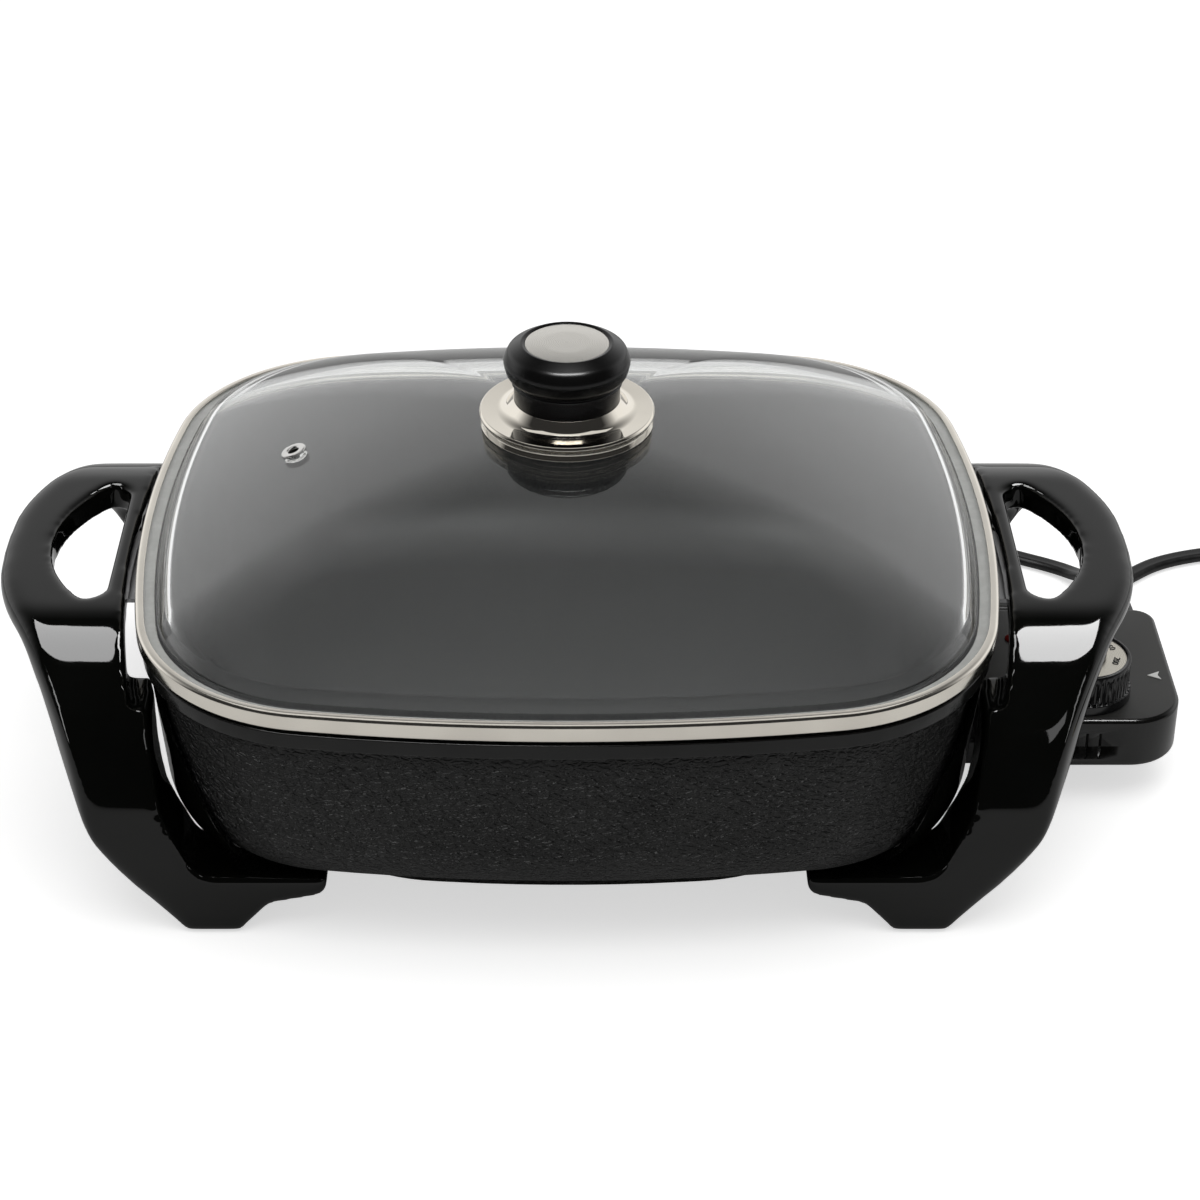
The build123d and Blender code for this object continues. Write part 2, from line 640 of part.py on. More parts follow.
def arch_profile():
    """Side view of a handle: an arch with a thick foot at each end, on the YZ plane."""
    inner_foot = FOOT_HALF_DEPTH - FOOT_DEPTH
    outer = [
        (FOOT_HALF_DEPTH, PAD_PROUD),
        (FOOT_HALF_DEPTH, LEG_KNEE),
        (GRIP_SHOULDER, HANDLE_TOP),
        (-GRIP_SHOULDER, HANDLE_TOP),
        (-FOOT_HALF_DEPTH, LEG_KNEE),
        (-FOOT_HALF_DEPTH, PAD_PROUD),
    ]
    inner = [
        (-inner_foot, PAD_PROUD),
        (-inner_foot, LEG_KNEE),
        (-GRIP_SHOULDER + ARCH_TAPER, GRIP_BOTTOM),
        (GRIP_SHOULDER - ARCH_TAPER, GRIP_BOTTOM),
        (inner_foot, LEG_KNEE),
        (inner_foot, PAD_PROUD),
    ]
    with BuildSketch(Plane.YZ) as profile:
        with BuildLine():
            over = FilletPolyline(outer, radius=[LEG_BEND, SHOULDER_BEND, SHOULDER_BEND, LEG_BEND])
            under = FilletPolyline(inner, radius=[ARCH_BEND, ARCH_BEND, ARCH_BEND, ARCH_BEND])
            Line(over @ 1, under @ 0)
            Line(under @ 1, over @ 0)
        make_face()
    return profile.sketch


def leg_profile():
    """Front view of a right handle: the foot, its arm under the pan, the leg and the grip, on XZ."""
    arm_top = PAN_BOTTOM - SEAT_GAP
    arm_tip = reach(ARM_REACH)
    foot_in, foot_out = reach(FOOT_INNER_REACH), reach(FOOT_OUTER_REACH)
    flare = reach(LEG_FLARE_REACH), HANDLE_TOP - LEG_FLARE_DROP
    knee = (foot_out + LEG_KNEE_STEP, LEG_KNEE_STEP)
    with BuildSketch(Plane.XZ) as profile:
        with BuildLine():
            outside = FilletPolyline((foot_out, PAD_PROUD), knee, flare, radius=LEG_KNEE_BEND)
            inside = FilletPolyline(
                (reach(LEG_TOP_REACH), HANDLE_TOP + 1),
                (reach(LEG_TOP_REACH) + 2, GRIP_BOTTOM - 12),
                (reach(LEG_MIDDLE_REACH), 2 * PAN_BOTTOM),
                (reach(INSTEP_REACH), arm_top),
                (arm_tip, arm_top),
                (arm_tip + 1.5, arm_top - ARM_THICKNESS + 2),
                (foot_in - ARM_SLOPE, arm_top - ARM_THICKNESS - 3),
                (foot_in, PAD_PROUD),
                radius=[INSTEP_BEND, INSTEP_BEND, INSTEP_BEND / 2, 1.5, 5.0, 7.0],
            )
            Polyline(
                outside @ 1,
                (reach(GRIP_REACH + 6), HANDLE_TOP - LEG_FLARE_DROP + 6),
                (reach(GRIP_REACH + 6), HANDLE_TOP + 1),
                inside @ 0,
            )
            Line(inside @ 1, outside @ 0)
        make_face()
    return profile.sketch


def grip_outline():
    """Plan of a right handle: a straight outer edge that tapers towards the legs."""
    taper = tan(radians(GRIP_TAPER))
    end = FOOT_HALF_DEPTH + 5
    outer, narrow = reach(GRIP_REACH), reach(GRIP_REACH) - (end - GRIP_FLAT) * taper
    with BuildSketch() as plan:
        with BuildLine():
            edge = FilletPolyline(
                (narrow, -end), (outer, -GRIP_FLAT), (outer, GRIP_FLAT), (narrow, end), radius=GRIP_CORNER
            )
            Polyline(edge @ 1, (reach(ARM_REACH - 5), end), (reach(ARM_REACH - 5), -end), edge @ 0)
        make_face()
    return plan.sketch


def slot_outline():
    """Plan of the finger slot: straight beside the pan, bowed outwards on the far side."""
    near, far = reach(SLOT_INSET), reach(SLOT_INSET + SLOT_WIDTH)
    step, half = SLOT_CORNER, SLOT_HALF_LENGTH
    with BuildSketch() as plan:
        with BuildLine():
            bow = ThreePointArc((near + step, -half), (far, 0), (near + step, half))
            Polyline(bow @ 1, (near, half - step), (near, step - half), bow @ 0)
        make_face()
        fillet(plan.vertices(), SLOT_CORNER * 0.6)
    return plan.sketch


RIGHT_ARCS = (7, 0, 1)      # the right end and its two corners, out of the outline's eight arcs

with BuildPart() as pan_envelope:
    for index in RIGHT_ARCS:
        arc = lid_arcs()[index]
        turn(wall_section(arc, HANDLE_GROW, CORE_INSET, HANDLE_TOP + 1), arc)
    block((0, -LID_DEPTH, 0), (LID_LENGTH, 2 * LID_DEPTH, SHIELD_BOTTOM - 2), Mode.SUBTRACT)
    for index in RIGHT_ARCS:
        arc = lid_arcs()[index]
        turn(wall_section(arc, SEAT_GAP, CORE_INSET, HANDLE_TOP), arc)

PADS = [(reach((FOOT_OUTER_REACH + FOOT_INNER_REACH) / 2), side * PAD_CENTRE) for side in (-1, 1)]
RIGHT_ARM_SCREWS = [level_plane(x, y, ARM_SCREW_SEAT) for x, y in ARM_SCREWS if x > 0]
GRIP_SCREWS = [level_plane(reach(GRIP_SCREW_REACH), y, GRIP_BOTTOM - BRACKET_SHEET) for y in BRACKET_SCREWS]

with BuildPart() as handle_right:
    extrude(arch_profile(), amount=reach(GRIP_REACH + 10))
    extrude(leg_profile(), amount=LID_DEPTH / 2, both=True, mode=Mode.INTERSECT)
    extrude(grip_outline(), amount=PAN_HEIGHT, mode=Mode.INTERSECT)
    fillet(handle_right.edges(), EDGE_ROUNDING)
    lid_prism = outline(lid_arcs(-HANDLE_GAP), GRIP_BOTTOM - 10)
    extrude(lid_prism, amount=PAN_HEIGHT, mode=Mode.SUBTRACT)
    extrude(slot_outline(), amount=PAN_HEIGHT, mode=Mode.SUBTRACT)
    add(pan_envelope.part, mode=Mode.SUBTRACT)
    sweep(ridge_section(RIDGE_PATH, 2 * SEAT_GAP), path=RIDGE_PATH, mode=Mode.SUBTRACT)
    for seat in RIGHT_ARM_SCREWS:
        boss = level_plane(seat.origin.X, seat.origin.Y, PAN_BOTTOM - ARM_BOSS_DROP)
        rod(boss, ARM_BOSS_DIAMETER + 2 * SEAT_GAP, ARM_BOSS_DROP, Mode.SUBTRACT)
        screw_way(seat, ARM_BOSS_DROP)
        head_way(seat, ARM_THICKNESS)
    for seat in GRIP_SCREWS:
        screw_way(seat, GRIP_SCREW_GRIP + BRACKET_SHEET)
    for x, y in PADS:
        size = (PAD_LENGTH + SEAT_GAP, PAD_DEPTH + SEAT_GAP, PAD_THICKNESS)
        block((x - size[0] / 2, y - size[1] / 2, 0), size, Mode.SUBTRACT)

finish(handle_right, "handle_right")

with BuildPart() as handle_left:
    mirror(handle_right.part, about=Plane.YZ)

finish(handle_left, "handle_left")


def shield_side():
    """Front view of what is kept of a shield: its slanted inner edge, on the XZ plane."""
    top = FLANGE_BOTTOM - SEAT_GAP
    outer = reach(0)
    with BuildSketch(Plane.XZ) as side:
        with BuildLine():
            corners = [(reach(SHIELD_REACH_BOTTOM), SHIELD_BOTTOM), (reach(SHIELD_REACH_TOP), top)]
            Polyline(*corners, (outer, top), (outer, SHIELD_BOTTOM), close=True)
        make_face()
    return side.sketch


with BuildPart() as heat_shield_right:
    for index in RIGHT_ARCS:
        arc = lid_arcs()[index]
        turn(wall_section(arc, SHIELD_GROW, CORE_INSET, FLANGE_BOTTOM), arc)
    for index in RIGHT_ARCS:
        arc = lid_arcs()[index]
        turn(wall_section(arc, SHIELD_GAP, CORE_INSET + 1, FLANGE_BOTTOM + 1), arc, Mode.SUBTRACT)
    extrude(shield_side(), amount=LID_DEPTH, both=True, mode=Mode.INTERSECT)
    for y in BRACKET_SCREWS:
        face = facing_x(BRACKET_FACE + 1, y, BRACKET_SCREW_LEVEL, -1)
        rod(face, BRACKET_BOSS_DIAMETER + 2 * SEAT_GAP, BRACKET_BOSS_LENGTH + 1, Mode.SUBTRACT)

finish(heat_shield_right, "heat_shield_right")

with BuildPart() as heat_shield_left:
    mirror(heat_shield_right.part, about=Plane.YZ)

finish(heat_shield_left, "heat_shield_left")

SHIELD_SCREWS = [facing_x(BRACKET_FACE + BRACKET_SHEET, y, BRACKET_SCREW_LEVEL, -1) for y in BRACKET_SCREWS]

with BuildPart() as handle_bracket_right:
    deck = reach(SLOT_INSET - 1) - BRACKET_FACE
    top = GRIP_BOTTOM - BRACKET_SHEET
    block((BRACKET_FACE, -BRACKET_HALF_DEPTH, top), (deck, 2 * BRACKET_HALF_DEPTH, BRACKET_SHEET))
    low = (BRACKET_FACE, -BRACKET_HALF_DEPTH, GRIP_BOTTOM - BRACKET_HEIGHT)
    block(low, (BRACKET_SHEET, 2 * BRACKET_HALF_DEPTH, BRACKET_HEIGHT))
    for seat in SHIELD_SCREWS + GRIP_SCREWS:
        screw_way(seat, BRACKET_SHEET)

finish(handle_bracket_right, "handle_bracket_right")

with BuildPart() as handle_bracket_left:
    mirror(handle_bracket_right.part, about=Plane.YZ)

finish(handle_bracket_left, "handle_bracket_left")

with BuildPart() as bracket_screws:
    for seat in GRIP_SCREWS:
        screw(seat, GRIP_SCREW_GRIP)
    for seat in SHIELD_SCREWS:
        screw(seat, BRACKET_SHEET + BRACKET_SCREW_GRIP - 1)
    mirror(about=Plane.YZ)

finish(bracket_screws, "bracket_screws")

with BuildPart() as arm_screws:
    for seat in RIGHT_ARM_SCREWS:
        screw(seat, PAN_BOTTOM - ARM_BOSS_DROP + ARM_SCREW_GRIP - 1 - ARM_SCREW_SEAT)
    mirror(about=Plane.YZ)

finish(arm_screws, "arm_screws")

with BuildPart() as foot_pads:
    for x, y in PADS:
        block((x - PAD_LENGTH / 2, y - PAD_DEPTH / 2, 0), (PAD_LENGTH, PAD_DEPTH, PAD_THICKNESS))
    mirror(about=Plane.YZ)

finish(foot_pads, "foot_pads")

# ---------------------------------------------------------------- lid

with BuildPart() as lid_rim:
    # Channel that grips the glass and its seal
    channel = [
        (0, RIM_BOTTOM),
        (0, RIM_TOP),
        (RIM_TOP_LIP, RIM_TOP),
        (RIM_TOP_LIP, GLASS_TOP),
        (RIM_SHEET, GLASS_TOP),
        (RIM_SHEET, RIM_BOTTOM + RIM_SHEET),
        (RIM_BOTTOM_LIP, RIM_BOTTOM + RIM_SHEET),
        (RIM_BOTTOM_LIP, RIM_BOTTOM),
    ]
    curl, lip, inner = RIM_CURL, RIM_SHEET * 0.45, RIM_CURL - RIM_SHEET
    for arc in lid_arcs():
        turn(section(arc, channel, [curl, curl, lip, lip, inner, inner, lip, lip]), arc)

finish(lid_rim, "lid_rim")


def dome(base_inset, base_level):
    """Solid under a dome: stacked outlines that shrink towards the top."""
    with BuildPart() as solid:
        for scale in DOME_SCALES:
            add(outline(lid_arcs(base_inset, scale), base_level + DOME_RISE * (1 - scale**DOME_POWER)))
        loft()
    return solid.part


def vent_plane(offset):
    """Plane square to the dome at the steam vent, offset outwards along the normal."""
    scale = VENT_DISTANCE / (HALF_LENGTH - DOME_INSET)
    level = DOME_BASE + DOME_RISE * (1 - scale**DOME_POWER)
    slope = DOME_RISE * DOME_POWER * scale ** (DOME_POWER - 1) / (HALF_LENGTH - DOME_INSET)
    plane = Plane(origin=(-VENT_DISTANCE, VENT_Y, level), z_dir=(-slope, 0, 1))
    return plane.offset(offset)


UNDER_LEVEL = DOME_BASE - DOME_DROP

with BuildPart() as lid_glass:
    add(dome(DOME_INSET, DOME_BASE))
    ring = [
        (GLASS_INSET, GLASS_BOTTOM),
        (GLASS_INSET, GLASS_TOP),
        (STEP_INSET, GLASS_TOP),
        (DOME_INSET, DOME_BASE),
        (2 * UNDER_INSET, DOME_BASE),
        (2 * UNDER_INSET, UNDER_LEVEL),
        (UNDER_INSET, UNDER_LEVEL),
        (STEP_INSET + STEP_WIDTH, GLASS_BOTTOM),
    ]
    for arc in lid_arcs():
        turn(section(arc, ring, [GLASS_EDGE, GLASS_EDGE, 1, 0, 0, 0, 0, 0]), arc)
    add(dome(UNDER_INSET, UNDER_LEVEL), mode=Mode.SUBTRACT)
    rod(level_plane(0, 0, DOME_BASE), KNOB_SCREW_DIAMETER + 2, DOME_RISE + 1, Mode.SUBTRACT)
    rod(vent_plane(-2 * GLASS_THICKNESS), VENT_STEM + 2 * SCREW_CLEARANCE, 4 * GLASS_THICKNESS, Mode.SUBTRACT)

finish(lid_glass, "lid_glass")

with BuildPart() as lid_seal:
    seal = [
        (SEAL_INSET, RIM_BOTTOM + RIM_SHEET),
        (SEAL_INSET, GLASS_BOTTOM),
        (SEAL_WIDTH, GLASS_BOTTOM),
        (SEAL_WIDTH, RIM_BOTTOM + RIM_SHEET),
    ]
    for arc in lid_arcs():
        turn(section(arc, seal, 0.5), arc)

finish(lid_seal, "lid_seal")

with BuildPart() as steam_vent:
    # Turned-over tube: a flange on each side of the glass
    rod(vent_plane(VENT_SEAT), VENT_DIAMETER, VENT_FLANGE)
    rod(vent_plane(-VENT_GRIP), VENT_STEM, VENT_GRIP + VENT_SEAT)
    rod(vent_plane(-VENT_GRIP - VENT_FLANGE), VENT_DIAMETER - 1, VENT_FLANGE)
    fillet(steam_vent.edges().filter_by(GeomType.CIRCLE).sort_by(Axis.Z)[-1], VENT_FLANGE * 0.6)
    rod(vent_plane(-2 * GLASS_THICKNESS), VENT_BORE, 4 * GLASS_THICKNESS, Mode.SUBTRACT)

finish(steam_vent, "steam_vent")

# ---------------------------------------------------------------- knob


def spun(points, rounding):
    """Closed profile of radii and heights, on the XZ plane."""
    with BuildSketch(Plane.XZ) as profile:
        with BuildLine():
            FilletPolyline(points, radius=rounding, close=True)
        make_face()
    return profile.sketch


BASE_BOTTOM = DOME_TOP - BASE_SINK
BASE_DECK = BASE_BOTTOM + BASE_HEIGHT
NECK_BOTTOM = BASE_DECK + FLARE_HEIGHT
BOSS_BOTTOM = DOME_TOP + GASKET_THICKNESS
HEAD_BOTTOM = NECK_BOTTOM + NECK_HEIGHT
KNOB_TOP = HEAD_BOTTOM + HEAD_HEIGHT
BASE_RADIUS = BASE_DIAMETER / 2
NECK_RADIUS = NECK_DIAMETER / 2
BOSS_RADIUS = GASKET_DIAMETER / 2
HEAD_RADIUS = HEAD_DIAMETER / 2
INSERT_RADIUS = INSERT_DIAMETER / 2

with BuildPart() as knob_base:
    # Flared cover: a waisted skirt, a dished deck and a flare up to the neck
    waist = BASE_RADIUS - BASE_WAIST
    base_points = [
        (BASE_RADIUS - 0.4, BASE_BOTTOM),
        (waist, BASE_BOTTOM + BASE_HEIGHT / 2),
        (BASE_RADIUS, BASE_DECK - 0.4),
        (BASE_RADIUS - 1.2, BASE_DECK + 0.3),
        (NECK_RADIUS + 6.5, BASE_DECK - 0.6),
        (NECK_RADIUS + 0.3, NECK_BOTTOM),
        (NECK_RADIUS - BASE_SHEET, NECK_BOTTOM),
        (NECK_RADIUS + 5.6, BASE_DECK - 0.6 - BASE_SHEET),
        (waist - BASE_SHEET + 0.5, BASE_DECK - 0.9 - BASE_SHEET),
        (waist - BASE_SHEET, BASE_BOTTOM + BASE_HEIGHT / 2),
        (BASE_RADIUS - 0.6 - BASE_SHEET, BASE_BOTTOM),
    ]
    revolve(spun(base_points, [0.3, 2, 0.3, 0.3, 4, 0.3, 0.3, 3, 0.5, 2, 0.3]), axis=Axis.Z)

finish(knob_base, "knob_base")

with BuildPart() as knob_gasket:
    rod(level_plane(0, 0, DOME_TOP), GASKET_DIAMETER, GASKET_THICKNESS)
    rod(level_plane(0, 0, DOME_TOP), KNOB_SCREW_DIAMETER + 2, GASKET_THICKNESS, Mode.SUBTRACT)

finish(knob_gasket, "knob_gasket")

with BuildPart() as lid_knob:
    knob_points = [
        (0, BOSS_BOTTOM),
        (BOSS_RADIUS, BOSS_BOTTOM),
        (BOSS_RADIUS, NECK_BOTTOM),
        (NECK_RADIUS, NECK_BOTTOM),
        (NECK_RADIUS, HEAD_BOTTOM),
        (HEAD_RADIUS - 3, HEAD_BOTTOM + 3),
        (HEAD_RADIUS, HEAD_BOTTOM + HEAD_HEIGHT * 0.6),
        (HEAD_RADIUS - 1.5, KNOB_TOP - 1.5),
        (INSERT_RADIUS + 2.5, KNOB_TOP),
        (INSERT_RADIUS + SCREW_CLEARANCE, KNOB_TOP - 0.3),
        (INSERT_RADIUS + SCREW_CLEARANCE, KNOB_TOP - INSERT_THICKNESS),
        (0, KNOB_TOP - INSERT_THICKNESS),
    ]
    revolve(spun(knob_points, [0, 0.5, 0.3, 0.3, 1.5, 3, 5, 2, 1.5, 0, 0, 0]), axis=Axis.Z)
    bore = KNOB_SCREW_DIAMETER + 2 * SCREW_CLEARANCE
    rod(level_plane(0, 0, BOSS_BOTTOM), bore, KNOB_SCREW_LENGTH, Mode.SUBTRACT)

finish(lid_knob, "lid_knob")

with BuildPart() as knob_insert:
    rod(level_plane(0, 0, KNOB_TOP - INSERT_THICKNESS), INSERT_DIAMETER, INSERT_THICKNESS)
    fillet(knob_insert.edges().sort_by(Axis.Z)[-1], 0.4)

finish(knob_insert, "knob_insert")

WASHER_TOP = UNDER_LEVEL + DOME_FLAT
WASHER_BOTTOM = WASHER_TOP - WASHER_THICKNESS

with BuildPart() as knob_washer:
    rod(level_plane(0, 0, WASHER_BOTTOM), WASHER_DIAMETER, WASHER_THICKNESS)
    bore = KNOB_SCREW_DIAMETER + 2 * SCREW_CLEARANCE
    rod(level_plane(0, 0, WASHER_BOTTOM), bore, WASHER_THICKNESS, Mode.SUBTRACT)

finish(knob_washer, "knob_washer")

with BuildPart() as knob_screw:
    screw(level_plane(0, 0, WASHER_BOTTOM), KNOB_SCREW_LENGTH, KNOB_SCREW_DIAMETER / SCREW_DIAMETER)

finish(knob_screw, "knob_screw")

# ---------------------------------------------------------------- heat control

FLOOR_TOP = CONTROL_BOTTOM + HOUSING_WALL
CEILING = CONTROL_TOP - HOUSING_WALL
POSTS = (
    (CONTROL_START + 14, CONTROL_FRONT + 8),
    (CONTROL_END - 14, CONTROL_FRONT + 16),
    (CONTROL_START + 10, CONTROL_BACK - 12),
    (CONTROL_END - 12, CONTROL_BACK - 20),
)
HOUSING_SCREW_LENGTH = 15.0


def housing_outline(inset, level):
    """Plan of the housings, moved inwards."""
    with BuildSketch(Plane.XY.offset(level)) as plan:
        with BuildLine():
            left, right = CONTROL_START + inset, CONTROL_END - inset
            front, back = CONTROL_FRONT + inset, CONTROL_BACK - inset
            corners = [(left, front), (right, front), (right, back), (left, back)]
            radii = [INNER_CORNER - inset, FRONT_CORNER - inset, BACK_CORNER - inset, INNER_CORNER - inset]
            FilletPolyline(corners, radius=radii, close=True)
        make_face()
    return plan.sketch


def grooves():
    """Upright grooves in the front of a housing."""
    for step in (-1, 0, 1):
        with Locations((DIAL_CENTRE_X + step * GROOVE_SPACING, CONTROL_FRONT, CONTROL_SPLIT)):
            Box(GROOVE_WIDTH, 2 * GROOVE_DEPTH, GROOVE_HEIGHT, mode=Mode.SUBTRACT)


with BuildPart() as control_top_housing:
    extrude(housing_outline(0, CONTROL_SPLIT), amount=CONTROL_TOP - CONTROL_SPLIT)
    fillet(control_top_housing.faces().sort_by(Axis.Z)[-1].edges(), HOUSING_ROUNDING)
    extrude(housing_outline(HOUSING_WALL, CONTROL_SPLIT), amount=CEILING - CONTROL_SPLIT, mode=Mode.SUBTRACT)
    for x, y in POSTS:
        rod(level_plane(x, y, CONTROL_SPLIT), POST_DIAMETER, CEILING - CONTROL_SPLIT)
        screw_way(level_plane(x, y, CONTROL_SPLIT), CEILING - CONTROL_SPLIT, SMALL_SCREW)
    dial_axis = level_plane(DIAL_CENTRE_X, DIAL_CENTRE_Y, CEILING - HOUSING_WALL)
    rod(dial_axis, SHAFT_DIAMETER + 2 * HOUSING_WALL, HOUSING_WALL)
    rod(dial_axis, SHAFT_DIAMETER + 2 * SHAFT_CLEARANCE, 3 * HOUSING_WALL, Mode.SUBTRACT)
    rod(level_plane(LAMP_X, LAMP_Y, CEILING), LENS_DIAMETER, HOUSING_WALL, Mode.SUBTRACT)
    notch = RELIEF_END_WIDTH + 2 * SCREW_CLEARANCE
    relief_top = RELIEF_LEVEL + RELIEF_NECK / 2 + SCREW_CLEARANCE
    low = (RELIEF_X - notch / 2, CONTROL_BACK - 2 * HOUSING_WALL, CONTROL_SPLIT)
    block(low, (notch, 2 * HOUSING_WALL, relief_top - CONTROL_SPLIT), Mode.SUBTRACT)
    grooves()

finish(control_top_housing, "control_top_housing")

HOUSING_SEATS = [level_plane(x, y, FLOOR_TOP + 1) for x, y in POSTS]

with BuildPart() as control_bottom_housing:
    extrude(housing_outline(0, CONTROL_BOTTOM), amount=CONTROL_SPLIT - CONTROL_BOTTOM)
    fillet(control_bottom_housing.faces().sort_by(Axis.Z)[0].edges(), HOUSING_ROUNDING)
    extrude(housing_outline(HOUSING_WALL, FLOOR_TOP), amount=CONTROL_SPLIT - FLOOR_TOP, mode=Mode.SUBTRACT)
    for seat in HOUSING_SEATS:
        rod(level_plane(seat.origin.X, seat.origin.Y, FLOOR_TOP), POST_DIAMETER, CONTROL_SPLIT - FLOOR_TOP)
        screw_way(seat, CONTROL_SPLIT - FLOOR_TOP, SMALL_SCREW)
        head_way(seat, HOUSING_WALL + 2, SMALL_SCREW)
    way = (CONTROL_START, -TONGUE_WIDTH / 2, FLOOR_TOP)
    block(way, (HOUSING_WALL, TONGUE_WIDTH, CONTROL_SPLIT - FLOOR_TOP), Mode.SUBTRACT)
    grooves()

finish(control_bottom_housing, "control_bottom_housing")

with BuildPart() as housing_screws:
    for seat in HOUSING_SEATS:
        screw(seat, HOUSING_SCREW_LENGTH, SMALL_SCREW)

finish(housing_screws, "housing_screws")

SOCKET_DIAMETER = TERMINAL_DIAMETER + 2 * (SCREW_CLEARANCE + SOCKET_WALL)
SOCKET_END = CONTROL_START - 1
TONGUE_END = CONTROL_START + BLOCK_TONGUE

with BuildPart() as socket_block:
    block(
        (BLOCK_START, -BLOCK_WIDTH / 2, BLOCK_BOTTOM),
        (CONTROL_START - BLOCK_START, BLOCK_WIDTH, BLOCK_TOP - BLOCK_BOTTOM),
    )
    fillet(socket_block.edges().filter_by(Axis.X), HOUSING_ROUNDING)
    tongue_size = (BLOCK_TONGUE, TONGUE_WIDTH, CONTROL_SPLIT - FLOOR_TOP)
    block((CONTROL_START, -TONGUE_WIDTH / 2, FLOOR_TOP), tongue_size)
    for y in TERMINALS:
        rod(facing_x(BLOCK_START, y, TERMINAL_LEVEL), SOCKET_DIAMETER, SOCKET_END - BLOCK_START, Mode.SUBTRACT)
        rod(facing_x(BLOCK_START, y, TERMINAL_LEVEL), 2.4 * SOCKET_WALL, TONGUE_END - BLOCK_START, Mode.SUBTRACT)
    rod(facing_x(BLOCK_START, 0, TERMINAL_LEVEL), PROBE_DIAMETER, PROBE_SHOULDER - BLOCK_START, Mode.SUBTRACT)
    rod(facing_x(BLOCK_START, 0, TERMINAL_LEVEL), PROBE_TAIL_DIAMETER, TONGUE_END - BLOCK_START, Mode.SUBTRACT)

finish(socket_block, "socket_block")

with BuildPart() as contact_sockets:
    # Slit-free tubes over the pins, with a solder tab behind each
    for y in TERMINALS:
        start = facing_x(BLOCK_START, y, TERMINAL_LEVEL)
        rod(start, SOCKET_DIAMETER, SOCKET_END - BLOCK_START)
        rod(start, TERMINAL_DIAMETER + 2 * SCREW_CLEARANCE, TERMINAL_LENGTH - 4, Mode.SUBTRACT)
        tab = (SOCKET_END, y - SOCKET_WALL, TERMINAL_LEVEL - SOCKET_WALL / 2)
        block(tab, (TAB_LENGTH, 2 * SOCKET_WALL, SOCKET_WALL))

finish(contact_sockets, "contact_sockets")

with BuildPart() as temperature_probe:
    tip = facing_x(PROBE_TIP, 0, TERMINAL_LEVEL)
    rod(tip, PROBE_DIAMETER, PROBE_SHOULDER - PROBE_TIP)
    fillet(temperature_probe.edges().sort_by(Axis.X)[0], PROBE_DIAMETER * 0.4)
    rod(tip, PROBE_TAIL_DIAMETER, PROBE_TAIL - PROBE_TIP)

finish(temperature_probe, "temperature_probe")

with BuildPart() as probe_collar:
    start = facing_x(BLOCK_START - COLLAR_LENGTH, 0, TERMINAL_LEVEL)
    rod(start, COLLAR_DIAMETER, COLLAR_LENGTH)
    rod(start, PROBE_DIAMETER, COLLAR_LENGTH, Mode.SUBTRACT)

finish(probe_collar, "probe_collar")

with BuildPart() as thermostat_frame:
    # Plate on the housing's floor with a tab that stops the probe's tail
    block((PROBE_TAIL, -FRAME_WIDTH / 2, FLOOR_TOP), (FRAME_LENGTH, FRAME_WIDTH, FRAME_SHEET))
    tab_size = (FRAME_SHEET, FRAME_TAB_WIDTH, FRAME_TAB_TOP - FLOOR_TOP)
    block((PROBE_TAIL, -FRAME_TAB_WIDTH / 2, FLOOR_TOP), tab_size)

finish(thermostat_frame, "thermostat_frame")

STRIP_START = PROBE_TAIL + 2 * FRAME_SHEET
STRIP_BOTTOM = FLOOR_TOP + FRAME_SHEET

with BuildPart() as bimetal_blade:
    # Strip whose foot is screwed to the frame and whose raised end lies under the dial's shaft
    low = (STRIP_START, DIAL_CENTRE_Y - BLADE_STRIP_WIDTH / 2, STRIP_BOTTOM)
    block(low, (STRIP_FOOT, BLADE_STRIP_WIDTH, BLADE_STRIP))
    riser = (STRIP_START + STRIP_FOOT - BLADE_STRIP, low[1], STRIP_BOTTOM)
    block(riser, (BLADE_STRIP, BLADE_STRIP_WIDTH, BLADE_STRIP_RISE))
    high = (riser[0], low[1], STRIP_BOTTOM + BLADE_STRIP_RISE - BLADE_STRIP)
    block(high, (BLADE_STRIP_LENGTH - STRIP_FOOT, BLADE_STRIP_WIDTH, BLADE_STRIP))

finish(bimetal_blade, "bimetal_blade")

STRIP_SCREWS = [
    level_plane(STRIP_START + STRIP_FOOT / 3, DIAL_CENTRE_Y + offset, STRIP_BOTTOM + BLADE_STRIP)
    for offset in (-BLADE_STRIP_WIDTH / 4, BLADE_STRIP_WIDTH / 4)
]

with BuildPart() as contact_screws:
    for seat in STRIP_SCREWS:
        rod(seat, BLADE_STRIP_WIDTH * 0.4, BLADE_STRIP)

finish(contact_screws, "contact_screws")

with BuildPart() as indicator_lamp:
    rod(level_plane(LAMP_X, LAMP_Y, FLOOR_TOP), LAMP_DIAMETER + 3, LAMP_HOLDER)
    rod(level_plane(LAMP_X, LAMP_Y, FLOOR_TOP), LAMP_DIAMETER, CEILING - FLOOR_TOP - 1)
    fillet(indicator_lamp.edges().sort_by(Axis.Z)[-1], LAMP_DIAMETER * 0.3)

finish(indicator_lamp, "indicator_lamp")

with BuildPart() as indicator_lens:
    rod(level_plane(LAMP_X, LAMP_Y, CEILING), LENS_DIAMETER, HOUSING_WALL + LENS_PROUD)
    fillet(indicator_lens.edges().sort_by(Axis.Z)[-1], LENS_PROUD * 0.7)

finish(indicator_lens, "indicator_lens")

